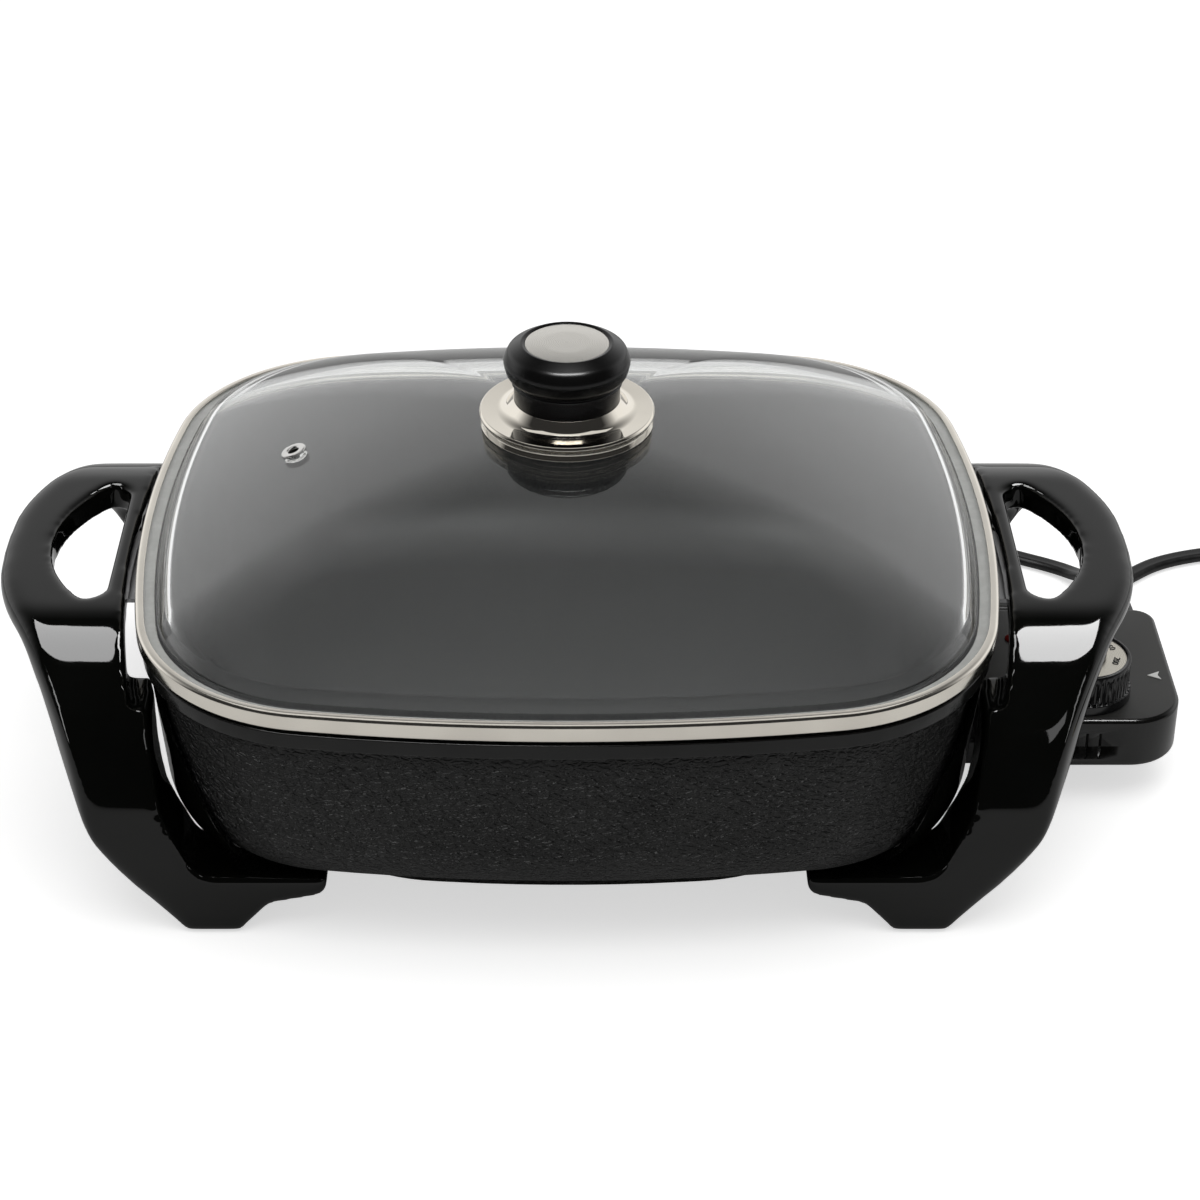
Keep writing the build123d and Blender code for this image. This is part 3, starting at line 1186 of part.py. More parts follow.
with BuildPart() as pointer_mark:
    # Arrowhead that points at the dial
    with BuildSketch(Plane.XY.offset(CONTROL_TOP)):
        with BuildLine():
            back = MARK_CENTRE_X + MARK_LENGTH / 2
            tip = (MARK_CENTRE_X - MARK_LENGTH / 2, MARK_CENTRE_Y)
            notched = (back - 1.2, MARK_CENTRE_Y)
            wing = MARK_WIDTH / 2
            Polyline(tip, (back, MARK_CENTRE_Y - wing), notched, (back, MARK_CENTRE_Y + wing), close=True)
        make_face()
    extrude(amount=MARK_THICKNESS)

finish(pointer_mark, "pointer_mark")

# ---------------------------------------------------------------- dial

DIAL_BOTTOM = CONTROL_TOP + DIAL_GAP
DIAL_TOP = DIAL_BOTTOM + DIAL_HEIGHT
GRIP_RADIUS = DIAL_DIAMETER / 2 - DIAL_COLLAR_WIDTH

with BuildPart() as temperature_dial:
    rod(level_plane(DIAL_CENTRE_X, DIAL_CENTRE_Y, DIAL_BOTTOM), DIAL_DIAMETER, DIAL_COLLAR_HEIGHT)
    rod(level_plane(DIAL_CENTRE_X, DIAL_CENTRE_Y, DIAL_BOTTOM), 2 * GRIP_RADIUS, DIAL_HEIGHT)
    fillet(temperature_dial.edges().sort_by(Axis.Z)[-1], DIAL_GAP)
    with Locations((DIAL_CENTRE_X, DIAL_CENTRE_Y, DIAL_BOTTOM + DIAL_COLLAR_HEIGHT)):
        with PolarLocations(GRIP_RADIUS + DIAL_KNURL_DIAMETER * 0.2, DIAL_KNURLS):
            Cylinder(
                DIAL_KNURL_DIAMETER / 2,
                DIAL_HEIGHT - 2 * DIAL_COLLAR_HEIGHT,
                align=(Align.CENTER, Align.CENTER, Align.MIN),
                mode=Mode.SUBTRACT,
            )
    ring_seat = level_plane(DIAL_CENTRE_X, DIAL_CENTRE_Y, DIAL_TOP - DIAL_RING_THICKNESS)
    rod(ring_seat, DIAL_RING_DIAMETER, DIAL_RING_THICKNESS, Mode.SUBTRACT)
    rod(level_plane(DIAL_CENTRE_X, DIAL_CENTRE_Y, DIAL_BOTTOM), SHAFT_DIAMETER, DIAL_HEIGHT, Mode.SUBTRACT)

finish(temperature_dial, "temperature_dial")

with BuildPart() as dial_ring:
    rod(ring_seat, DIAL_RING_DIAMETER, DIAL_RING_THICKNESS / 2)
    rod(ring_seat, DIAL_CAP_DIAMETER, DIAL_RING_THICKNESS / 2, Mode.SUBTRACT)

finish(dial_ring, "dial_ring")

with BuildPart() as dial_cap:
    rod(ring_seat, DIAL_CAP_DIAMETER, DIAL_CAP_HEIGHT)
    fillet(dial_cap.edges().sort_by(Axis.Z)[-1], DIAL_CAP_HEIGHT / 3)

finish(dial_cap, "dial_cap")

with BuildPart() as dial_shaft:
    shaft_bottom = level_plane(DIAL_CENTRE_X, DIAL_CENTRE_Y, SHAFT_BOTTOM)
    rod(shaft_bottom, SHAFT_DIAMETER, DIAL_TOP - DIAL_RING_THICKNESS - SHAFT_BOTTOM)

finish(dial_shaft, "dial_shaft")

# ---------------------------------------------------------------- mains lead


def flat_section(plane, width, height):
    """Flat section with round sides."""
    with BuildSketch(plane) as flat:
        RectangleRounded(width, height, min(width, height) * 0.48)
    return flat.sketch


RELIEF_END = CONTROL_BACK + RELIEF_LENGTH


def across(y):
    """Plane across the lead where it leaves the control."""
    return Plane(origin=(RELIEF_X, y, RELIEF_LEVEL), x_dir=(1, 0, 0), z_dir=(0, -1, 0))


with BuildPart() as strain_relief:
    add(flat_section(across(CONTROL_BACK), RELIEF_WIDTH, RELIEF_HEIGHT))
    add(flat_section(across(RELIEF_END), RELIEF_END_WIDTH, RELIEF_END_HEIGHT))
    loft()
    # Neck through the housing's wall and a flange behind the wall
    neck = flat_section(across(CONTROL_BACK), RELIEF_END_WIDTH, RELIEF_NECK)
    extrude(neck, amount=HOUSING_WALL + 0.5)
    behind = flat_section(across(CONTROL_BACK - HOUSING_WALL - 0.5), RELIEF_END_WIDTH - 3, RELIEF_HEIGHT - 1)
    extrude(behind, amount=HOUSING_WALL)

finish(strain_relief, "strain_relief")

# Corners of the lead's route: out of the relief, down to the table, round a loop and back under the
# handle, then away to the plug
LEAD = (
    (RELIEF_X, RELIEF_END, RELIEF_LEVEL),
    (RELIEF_X, 118, RELIEF_LEVEL),
    (269.3, 143, 17.5),
    (266, 161, 5.5),
    (255, 174.5, CORD_LEVEL),
    (232, 186.5, CORD_LEVEL),
    (197, 208.5, CORD_LEVEL),
    (155.5, 228.5, CORD_LEVEL),
    (124.5, 221, CORD_LEVEL),
    (106, 195.5, CORD_LEVEL),
    (108.5, 164, CORD_LEVEL),
    (130.5, 141.5, CORD_LEVEL),
    (168, 140, CORD_LEVEL),
    (206, 135.8, CORD_LEVEL),
    (243, 132.9, CORD_LEVEL),
    (264, 137.9, CORD_LEVEL),
    (291, 165, CORD_LEVEL),
    (311, 181, CORD_LEVEL),
    (346, 191, CORD_LEVEL),
    (384, 188, CORD_LEVEL),
    (416, 166, CORD_LEVEL),
    (432, 130, CORD_LEVEL),
    (428, 90, CORD_LEVEL),
    (412, 54, CORD_LEVEL),
    (399, 26, PLUG_HEIGHT / 2),
    (399, -2, PLUG_HEIGHT / 2),
)


def run_vector(start, end):
    """Vector between two points and its length."""
    vector = Vector(*end) - Vector(*start)
    return vector, vector.length


def bend_radii(points):
    """Radius at each inner corner, so that a bend uses less than half of the shorter run beside it."""
    radii = []
    for before, corner, after in zip(points, points[1:], points[2:]):
        into, into_length = run_vector(before, corner)
        out, out_length = run_vector(corner, after)
        turned = acos(max(-1.0, min(1.0, into.dot(out) / (into_length * out_length))))
        radii.append(0.45 * min(into_length, out_length) / tan(turned / 2))
    return radii


with BuildPart() as power_cord:
    with BuildLine() as lead_line:
        FilletPolyline(*LEAD, radius=bend_radii(LEAD))
    lead_start = Plane(origin=LEAD[0], x_dir=(1, 0, 0), z_dir=(0, 1, 0))
    lead = flat_section(lead_start, CORD_WIDTH, CORD_THICKNESS)
    sweep(lead, path=lead_line.line)

print("lead", round(sum(edge.length for edge in lead_line.edges()), 1), "mm")
finish(power_cord, "power_cord")

PLUG_FACE = Plane(origin=LEAD[-1], x_dir=(1, 0, 0), z_dir=(0, -1, 0))

with BuildPart() as plug_body:
    with BuildSketch(PLUG_FACE):
        RectangleRounded(CORD_WIDTH + PLUG_NECK, CORD_THICKNESS + PLUG_NECK, PLUG_CORNER)
    with BuildSketch(PLUG_FACE.offset(PLUG_LENGTH / 2)):
        RectangleRounded(PLUG_WIDTH, PLUG_HEIGHT, PLUG_CORNER)
    loft()
    with BuildSketch(PLUG_FACE.offset(PLUG_LENGTH / 2)):
        RectangleRounded(PLUG_WIDTH, PLUG_HEIGHT, PLUG_CORNER)
    extrude(amount=PLUG_LENGTH / 2)

finish(plug_body, "plug_body")

with BuildPart() as plug_blades:
    with BuildSketch(PLUG_FACE.offset(PLUG_LENGTH)):
        with GridLocations(BLADE_SPACING, 1, 2, 1):
            Rectangle(BLADE_THICKNESS, BLADE_WIDTH)
    extrude(amount=BLADE_LENGTH)

finish(plug_blades, "plug_blades")
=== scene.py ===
"""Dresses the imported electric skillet: studio, finishes, lead, pan, handles, lid, knob and heat control."""

import json
import logging
import math
from dataclasses import dataclass, field
from enum import Enum

import bmesh
import bpy
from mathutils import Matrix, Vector

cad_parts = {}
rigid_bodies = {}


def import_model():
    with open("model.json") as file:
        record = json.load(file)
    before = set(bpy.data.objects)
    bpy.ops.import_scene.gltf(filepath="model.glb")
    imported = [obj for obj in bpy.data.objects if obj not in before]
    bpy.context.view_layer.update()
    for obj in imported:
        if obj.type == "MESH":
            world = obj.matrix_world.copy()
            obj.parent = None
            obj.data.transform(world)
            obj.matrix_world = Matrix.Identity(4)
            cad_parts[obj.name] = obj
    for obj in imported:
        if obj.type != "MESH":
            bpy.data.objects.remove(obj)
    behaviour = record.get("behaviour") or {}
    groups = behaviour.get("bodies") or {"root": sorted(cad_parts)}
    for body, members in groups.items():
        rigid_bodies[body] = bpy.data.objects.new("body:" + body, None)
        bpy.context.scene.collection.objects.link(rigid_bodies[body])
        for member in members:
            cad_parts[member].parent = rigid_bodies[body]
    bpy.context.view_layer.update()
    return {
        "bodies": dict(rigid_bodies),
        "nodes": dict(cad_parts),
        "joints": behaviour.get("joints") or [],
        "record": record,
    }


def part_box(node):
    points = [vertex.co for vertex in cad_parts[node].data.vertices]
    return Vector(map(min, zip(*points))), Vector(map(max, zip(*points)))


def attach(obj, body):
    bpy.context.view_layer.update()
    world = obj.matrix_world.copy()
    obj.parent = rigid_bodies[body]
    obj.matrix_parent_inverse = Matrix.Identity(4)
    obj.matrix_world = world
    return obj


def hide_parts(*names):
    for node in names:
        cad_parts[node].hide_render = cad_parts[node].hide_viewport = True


LOG = logging.getLogger("skillet")

Colour = tuple[float, float, float]
Point = tuple[float, float, float]
Pair = tuple[float, float]
Socket = bpy.types.NodeSocket
Owner = bpy.types.Material | bpy.types.World

MM = 0.001
SPREAD: Pair = (0.3, 0.7)


# ----node building


@dataclass
class NodeBook:
    """A node tree, written with short calls.

    Attributes:
        owner: The material or world whose nodes are being written.
    """

    owner: Owner

    @classmethod
    def of(cls, owner: Owner) -> "NodeBook":
        """Empty the node tree of a material or world and start its book."""
        owner.use_nodes = True
        owner.node_tree.nodes.clear()
        return cls(owner)

    @classmethod
    def start(cls, name: str) -> "NodeBook":
        """Make an empty node material and its book."""
        return cls.of(bpy.data.materials.new(name))

    def add(self, kind: str, **values: object) -> bpy.types.Node:
        """Add a node and set its inputs or properties.

        Args:
            kind: Blender's name of the node type.
            values: Input values by socket name with spaces as underscores, or node properties in lower case.

        Returns:
            The new node.
        """
        node = self.owner.node_tree.nodes.new(kind)
        for key, value in values.items():
            if hasattr(node, key) and not key[0].isupper():
                setattr(node, key, value)
            else:
                node.inputs[key.replace("_", " ")].default_value = value
        return node

    def link(self, source: Socket, target: Socket) -> None:
        """Link one socket to another."""
        self.owner.node_tree.links.new(source, target)

    def join(self, kind: str, *sources: Socket, **values: object) -> bpy.types.Node:
        """Add a node, with sockets linked to its first inputs in order.

        Args:
            kind: Blender's name of the node type.
            sources: Sockets for the node's inputs, from the first on.
            values: As for add().

        Returns:
            The new node.
        """
        node = self.add(kind, **values)
        for source, target in zip(sources, node.inputs):
            self.link(source, target)
        return node

    def combine(self, operation: str, *sources: Socket) -> Socket:
        """Result of a calculation on values."""
        return self.join("ShaderNodeMath", *sources, operation=operation).outputs[0]

    def place(self, scale: Point = (1.0, 1.0, 1.0), centre: Point = (0.0, 0.0, 0.0)) -> Socket:
        """Object coordinates through a mapping.

        Args:
            scale: Stretch of the pattern along each axis.
            centre: Place that becomes the pattern's origin, at full scale.

        Returns:
            The mapped vector's socket.
        """
        coordinates = self.add("ShaderNodeTexCoord")
        mapping = self.join("ShaderNodeMapping", coordinates.outputs["Object"], Scale=scale,
                            Location=tuple(-value for value in centre))
        return mapping.outputs["Vector"]

    def noise(self, size: float, detail: float = 3.0, vector: Socket | None = None,
              roughness: float = 0.5, distortion: float = 0.0) -> Socket:
        """Noise whose features are about a size across.

        Args:
            size: Feature size in metres.
            detail: Octaves of finer detail.
            vector: Coordinates, or None for plain object coordinates.
            roughness: Strength of the finer octaves.
            distortion: Swirl of the pattern.

        Returns:
            The noise value's socket.
        """
        noise = self.join("ShaderNodeTexNoise", vector or self.place(), Scale=1.0 / size, Detail=detail,
                          Roughness=roughness, Distortion=distortion)
        return noise.outputs["Fac"]

    def ramp(self, source: Socket, low: float, high: float, start: float = 0.0,
             end: float = 1.0) -> Socket:
        """Remap a value from start..end to low..high.

        Args:
            source: The value's socket.
            low: Result at start.
            high: Result at end.
            start: Value that gives low.
            end: Value that gives high.

        Returns:
            The remapped value's socket.
        """
        remap = self.join("ShaderNodeMapRange", source, From_Min=start, From_Max=end, To_Min=low, To_Max=high)
        return remap.outputs["Result"]

    def blend(self, factor: Socket, first: Colour | Socket, second: Colour | Socket) -> Socket:
        """Mix two colours by a value.

        Args:
            factor: The mixing value's socket.
            first: Colour at zero, or its socket.
            second: Colour at one, or its socket.

        Returns:
            The mixed colour's socket.
        """
        mix = self.join("ShaderNodeMix", factor, data_type="RGBA")
        for colour, target in ((first, mix.inputs[6]), (second, mix.inputs[7])):
            if isinstance(colour, tuple):
                target.default_value = (*colour, 1.0)
            else:
                self.link(colour, target)
        return mix.outputs[2]

    def mottle(self, pattern: Socket, first: Colour, second: Colour, spread: Pair = SPREAD) -> Socket:
        """Mix two colours by the middle of a pattern's range."""
        return self.blend(self.ramp(pattern, 0.0, 1.0, *spread), first, second)

    def bump(self, height: Socket, distance: float, strength: float = 1.0,
             before: Socket | None = None) -> Socket:
        """Bump from a height.

        Args:
            height: The height's socket, from 0 to 1.
            distance: Height of the relief in metres.
            strength: How much of the bump is used.
            before: Normal of a coarser bump below this one.

        Returns:
            The normal's socket.
        """
        bump = self.add("ShaderNodeBump", Distance=distance, Strength=strength)
        self.link(height, bump.inputs["Height"])
        if before is not None:
            self.link(before, bump.inputs["Normal"])
        return bump.outputs["Normal"]

    def mask_below(self, level: float, softness: float = 0.0006) -> Socket:
        """One below a level and nought above it.

        Args:
            level: Height in metres.
            softness: Height over which the mask fades.

        Returns:
            The mask's socket.
        """
        split = self.join("ShaderNodeSeparateXYZ", self.place())
        return self.ramp(split.outputs["Z"], 1.0, 0.0, level - softness, level + softness)

    def either(self, mask: Socket, plain: float, patterned: Socket) -> Socket:
        """Plain value where the mask is nought and a patterned one where it is one."""
        mix = self.join("ShaderNodeMix", mask, data_type="FLOAT")
        mix.inputs[2].default_value = plain
        self.link(patterned, mix.inputs[3])
        return mix.outputs[0]

    def finish(self, shader: bpy.types.Node, output: str = "ShaderNodeOutputMaterial") -> Owner:
        """Join the shader to the output and hand back the material or world."""
        self.join(output, shader.outputs[0])
        return self.owner

    def surface(self, colour: Socket, roughness: Socket, normal: Socket, **values: object) -> Owner:
        """Finish with a principled shader.

        Args:
            colour: Base colour's socket.
            roughness: Roughness's socket.
            normal: Normal's socket.
            values: As for add().

        Returns:
            The material.
        """
        shader = self.add("ShaderNodeBsdfPrincipled", **values)
        for source, name in ((colour, "Base Color"), (roughness, "Roughness"), (normal, "Normal")):
            self.link(source, shader.inputs[name])
        return self.finish(shader)


@dataclass(frozen=True)
class CastFinish:
    """Dark baked coating over the pan's leathery cast outside, smooth on the flange under the rim."""

    name: str = "pan_cast_outside"
    dark: Colour = (0.0035, 0.0035, 0.0033)
    light: Colour = (0.0100, 0.0100, 0.0096)
    crease: float = 0.0046
    grain: float = 0.0009
    relief: float = 0.0020
    flange_level: float = 0.1155
    flattening: float = 1.7
    patch: float = 0.028
    flange_roughness: float = 0.16
    wall_roughness: Pair = (0.34, 0.46)

    def build(self) -> bpy.types.Material:
        """Write the material."""
        book = NodeBook.start(self.name)
        flattened = book.place((1.0, 1.0, self.flattening))
        swirl = book.join("ShaderNodeTexNoise", flattened, Scale=1.0 / (2.5 * self.crease), Detail=3.0,
                          Roughness=0.6)
        shift = book.join("ShaderNodeVectorMath", swirl.outputs["Color"], operation="SCALE",
                          Scale=2.4 * self.crease)
        moved = book.join("ShaderNodeVectorMath", flattened, shift.outputs[0], operation="ADD")
        cells = book.join("ShaderNodeTexVoronoi", moved.outputs[0], feature="DISTANCE_TO_EDGE",
                          Scale=1.0 / self.crease)
        creases = book.ramp(cells.outputs["Distance"], 0.0, 1.0, 0.0, 0.30)
        lumps = book.noise(self.crease * 1.8, 4.0, flattened, 0.65, 0.8)
        blended = book.join("ShaderNodeMath", creases, operation="MULTIPLY_ADD")
        blended.inputs[1].default_value = 0.55
        book.link(lumps, blended.inputs[2])
        wall = book.mask_below(self.flange_level)
        coarse = book.bump(book.combine("MULTIPLY", blended.outputs[0], wall), self.relief)
        fine = book.bump(book.noise(self.grain), self.relief * 0.08, 0.4, coarse)
        rough = book.either(wall, self.flange_roughness, book.ramp(creases, *self.wall_roughness))
        colour = book.mottle(book.noise(self.patch), self.dark, self.light)
        return book.surface(colour, rough, fine, Specular_IOR_Level=0.28)


@dataclass(frozen=True)
class NonstickFinish:
    """Grey speckled nonstick coating inside the pan."""

    name: str = "pan_nonstick_inside"
    dark: Colour = (0.022, 0.023, 0.023)
    light: Colour = (0.042, 0.042, 0.042)
    speck: float = 0.0012
    cloud: float = 0.05
    roughness: Pair = (0.36, 0.48)
    relief: float = 0.00012

    def build(self) -> bpy.types.Material:
        """Write the material."""
        book = NodeBook.start(self.name)
        specks = book.noise(self.speck, 4.0, None, 0.7)
        colour = book.mottle(specks, self.dark, self.light, (0.35, 0.65))
        rough = book.ramp(book.noise(self.cloud), *self.roughness, *SPREAD)
        return book.surface(colour, rough, book.bump(specks, self.relief, 0.5), Specular_IOR_Level=0.4)


@dataclass(frozen=True)
class PlasticFinish:
    """Moulded plastic: glossy or satin, with faint flow marks and a fine grain."""

    name: str
    colour: Colour = (0.0035, 0.0035, 0.0038)
    lighter: Colour = (0.0055, 0.0055, 0.0058)
    gloss: float = 0.09
    wear: float = 0.05
    grain: float = 0.0006
    relief: float = 0.000008
    specular: float = 0.5
    flow: float = 0.035

    def build(self) -> bpy.types.Material:
        """Write the material."""
        book = NodeBook.start(self.name)
        flow = book.noise(self.flow)
        rough = book.ramp(flow, self.gloss, self.gloss + self.wear, 0.3, 0.75)
        fine = book.bump(book.noise(self.grain, 2.0), self.relief, 0.6)
        colour = book.mottle(flow, self.colour, self.lighter)
        return book.surface(colour, rough, fine, Specular_IOR_Level=self.specular)


@dataclass(frozen=True)
class SteelFinish:
    """Polished or satin steel with fine drawn lines."""

    name: str
    colour: Colour = (0.74, 0.73, 0.71)
    darker: Colour = (0.60, 0.59, 0.575)
    polish: float = 0.14
    scatter: float = 0.10
    stretch: Point = (1.0, 1.0, 14.0)
    line: float = 0.004
    relief: float = 0.000012
    cloud: float = 0.03

    def build(self) -> bpy.types.Material:
        """Write the material."""
        book = NodeBook.start(self.name)
        lines = book.noise(self.line, 4.0, book.place(self.stretch), 0.6)
        colour = book.mottle(book.noise(self.cloud, 2.0), self.darker, self.colour)
        rough = book.ramp(lines, self.polish, self.polish + self.scatter, 0.35, 0.65)
        return book.surface(colour, rough, book.bump(lines, self.relief, 0.5), Metallic=1.0)


@dataclass(frozen=True)
class BrushedRoundFinish:
    """Silver disc brushed round its own centre."""

    name: str
    centre: Point = (0.0, 0.0, 0.0)
    colour: Colour = (0.84, 0.80, 0.71)
    darker: Colour = (0.68, 0.65, 0.57)
    fineness: float = 420.0
    roughness: Pair = (0.26, 0.38)
    relief: float = 0.000010

    def build(self) -> bpy.types.Material:
        """Write the material."""
        book = NodeBook.start(self.name)
        wave = book.join("ShaderNodeTexWave", book.place(centre=self.centre), wave_type="RINGS",
                         rings_direction="Z", Scale=self.fineness, Distortion=2.5, Detail=3.0,
                         Detail_Scale=2.0)
        rings = wave.outputs["Fac"]
        return book.surface(book.blend(rings, self.darker, self.colour), book.ramp(rings, *self.roughness),
                            book.bump(rings, self.relief, 0.4), Metallic=1.0)


@dataclass(frozen=True)
class GlassFinish:
    """Clear tempered glass that lets light through to what lies under it."""

    name: str = "lid_clear_glass"
    tint: Colour = (0.975, 0.985, 0.982)
    shade: Colour = (0.94, 0.95, 0.95)
    index: float = 1.47
    wave: float = 0.07
    relief: float = 0.00004

    def build(self) -> bpy.types.Material:
        """Write the material."""
        book = NodeBook.start(self.name)
        glass = book.add("ShaderNodeBsdfPrincipled", Base_Color=(*self.tint, 1.0), Transmission_Weight=1.0,
                         IOR=self.index, Specular_IOR_Level=0.5, Roughness=0.0)
        book.link(book.bump(book.noise(self.wave, 2.0), self.relief, 0.2), glass.inputs["Normal"])
        clear = book.add("ShaderNodeBsdfTransparent", Color=(*self.shade, 1.0))
        path = book.add("ShaderNodeLightPath")
        return book.finish(book.join("ShaderNodeMixShader", path.outputs["Is Shadow Ray"], glass.outputs[0],
                                     clear.outputs[0]))


@dataclass(frozen=True)
class RubberFinish:
    """Matt rubber or silicone with a dusty bloom."""

    name: str
    colour: Colour = (0.008, 0.008, 0.008)
    bloom: Colour = (0.018, 0.018, 0.018)
    roughness: float = 0.55
    speck: float = 0.006
    grain: float = 0.0008
    relief: float = 0.00003

    def build(self) -> bpy.types.Material:
        """Write the material."""
        book = NodeBook.start(self.name)
        dust = book.noise(self.speck, 5.0, None, 0.65)
        fine = book.bump(book.noise(self.grain, 2.0), self.relief, 0.5)
        rough = book.ramp(dust, self.roughness, self.roughness + 0.15)
        colour = book.mottle(dust, self.colour, self.bloom, (0.4, 0.65))
        return book.surface(colour, rough, fine, Specular_IOR_Level=0.4)


class Finish(Enum):
    """Every finish on the skillet."""

    CAST = CastFinish()
    NONSTICK = NonstickFinish()
    HANDLE = PlasticFinish("handle_gloss_black", (0.0016, 0.0018, 0.0014), (0.0026, 0.0028, 0.0024),
                           gloss=0.035, wear=0.03, relief=0.000003, specular=0.32)
    SHIELD = PlasticFinish("shield_gloss_black", (0.0016, 0.0018, 0.0014), (0.0026, 0.0028, 0.0024),
                           gloss=0.05, wear=0.03, relief=0.000003, specular=0.32)
    CASE_EDGE = PlasticFinish("control_gloss_edge", (0.004, 0.004, 0.0035), (0.006, 0.006, 0.0055),
                              gloss=0.16, relief=0.00001, specular=0.45)
    KNOB = PlasticFinish("knob_satin_black", (0.0018, 0.0018, 0.0018), (0.0032, 0.0032, 0.0032),
                         gloss=0.24, wear=0.04, relief=0.000004, specular=0.36)
    HOUSING = PlasticFinish("control_fine_grain", (0.022, 0.022, 0.020), (0.030, 0.030, 0.028),
                            gloss=0.42, wear=0.10, relief=0.00004, grain=0.0007)
    DIAL = PlasticFinish("dial_satin_black", gloss=0.22, wear=0.08)
    CAP = PlasticFinish("dial_cap_black", gloss=0.12)
    BLOCK = PlasticFinish("socket_black", gloss=0.35, wear=0.10)
    CERAMIC = PlasticFinish("terminal_ceramic", (0.72, 0.70, 0.65), (0.80, 0.78, 0.74), gloss=0.35)
    LENS = PlasticFinish("lens_clear_red", (0.10, 0.005, 0.004), (0.14, 0.008, 0.006), gloss=0.06)
    MARK = PlasticFinish("mark_white_print", (0.78, 0.78, 0.76), (0.84, 0.84, 0.82), gloss=0.4)
    PRINT = PlasticFinish("dial_black_print", (0.006, 0.006, 0.006), (0.01, 0.01, 0.01), gloss=0.4)
    RIM = SteelFinish("rim_polished_steel", (0.84, 0.80, 0.72), (0.74, 0.70, 0.63), polish=0.10,
                      scatter=0.08)
    KNOB_BASE = SteelFinish("knob_base_polished", (0.86, 0.81, 0.72), (0.78, 0.735, 0.65), polish=0.035,
                            scatter=0.03, stretch=(1.0, 1.0, 3.0), relief=0.000004)
    VENT = SteelFinish("vent_polished", polish=0.08, scatter=0.06)
    SHEET = SteelFinish("sheet_zinc", (0.58, 0.58, 0.59), (0.44, 0.44, 0.45), polish=0.28)
    SCREW = SteelFinish("screw_zinc", (0.60, 0.60, 0.60), (0.46, 0.46, 0.46), polish=0.25)
    ELEMENT = SteelFinish("element_oxidised", (0.30, 0.28, 0.26), (0.18, 0.17, 0.16), polish=0.35)
    PROBE = SteelFinish("probe_steel", polish=0.16)
    CONTACT = SteelFinish("contact_nickel", (0.70, 0.68, 0.62), (0.58, 0.56, 0.50), polish=0.18)
    BRASS = SteelFinish("blade_brass", (0.72, 0.55, 0.27), (0.60, 0.45, 0.21), polish=0.18)
    INSERT = BrushedRoundFinish("knob_insert_silver", colour=(0.80, 0.78, 0.73), darker=(0.62, 0.60, 0.56))
    RING = BrushedRoundFinish("dial_ring_silver", centre=(0.2378, -0.006, 0.0635))
    GLASS = GlassFinish()
    LAMP = PlasticFinish("lamp_neon_glass", (0.75, 0.42, 0.25), (0.82, 0.5, 0.3), gloss=0.05)
    SEAL = RubberFinish("seal_pale_silicone", (0.46, 0.46, 0.44), (0.54, 0.54, 0.52), roughness=0.45)
    PAD = RubberFinish("foot_pad_rubber")
    LEAD = RubberFinish("lead_black_rubber", (0.005, 0.005, 0.005), (0.010, 0.010, 0.010), roughness=0.32)

    def material(self) -> bpy.types.Material:
        """The finish's material, built on first use."""
        return bpy.data.materials.get(self.value.name) or self.value.build()


# ----modelling helpers


def deselect_all() -> None:
    """Leave edit mode and deselect every object."""
    if bpy.context.object is not None and bpy.context.object.mode != "OBJECT":
        bpy.ops.object.mode_set(mode="OBJECT")
    bpy.ops.object.select_all(action="DESELECT")


def take(piece: bpy.types.Object) -> None:
    """Select a single object and make it the active one."""
    deselect_all()
    piece.select_set(True)
    bpy.context.view_layer.objects.active = piece


def dress(piece: bpy.types.Object, *finishes: Finish) -> None:
    """Put finishes in a piece's material slots, in order."""
    piece.data.materials.clear()
    for finish in finishes:
        piece.data.materials.append(finish.material())


def smooth(piece: bpy.types.Object, degrees: float = 30.0) -> None:
    """Shade a piece smooth, with edges sharper than an angle kept crisp."""
    take(piece)
    bpy.ops.object.shade_smooth_by_angle(angle=math.radians(degrees))


def apply_all(piece: bpy.types.Object) -> None:
    """Apply every modifier of a piece, in order."""
    take(piece)
    for modifier in list(piece.modifiers):
        bpy.ops.object.modifier_apply(modifier=modifier.name)


def rounded(points: list[Pair], radii: list[float], steps: int = 5, closed: bool = True) -> list[Pair]:
    """Round the corners of a profile.

    Args:
        points: Corners of the profile.
        radii: Radius at each corner, nought for a sharp one.
        steps: Points along each rounding, less one.
        closed: Whether the profile joins up; an open one keeps its two ends.

    Returns:
        The rounded profile's points.
    """
    result = []
    for index, (point, radius) in enumerate(zip(points, radii)):
        ends = not closed and index in (0, len(points) - 1)
        if radius == 0.0 or ends:
            result.append(point)
            continue
        here = Vector(point)
        into = (Vector(points[index - 1]) - here).normalized()
        out = (Vector(points[(index + 1) % len(points)]) - here).normalized()
        half = into.angle(out) / 2
        reach = radius / math.tan(half)
        middle = here + (into + out).normalized() * (radius / math.sin(half))
        first = here + into * reach - middle
        last = here + out * reach - middle
        turn = first.angle_signed(last)
        for step in range(steps + 1):
            angle = -turn * step / steps
            cosine, sine = math.cos(angle), math.sin(angle)
            spoke = Vector((first.x * cosine - first.y * sine, first.x * sine + first.y * cosine))
            result.append(tuple(middle + spoke))
    return result


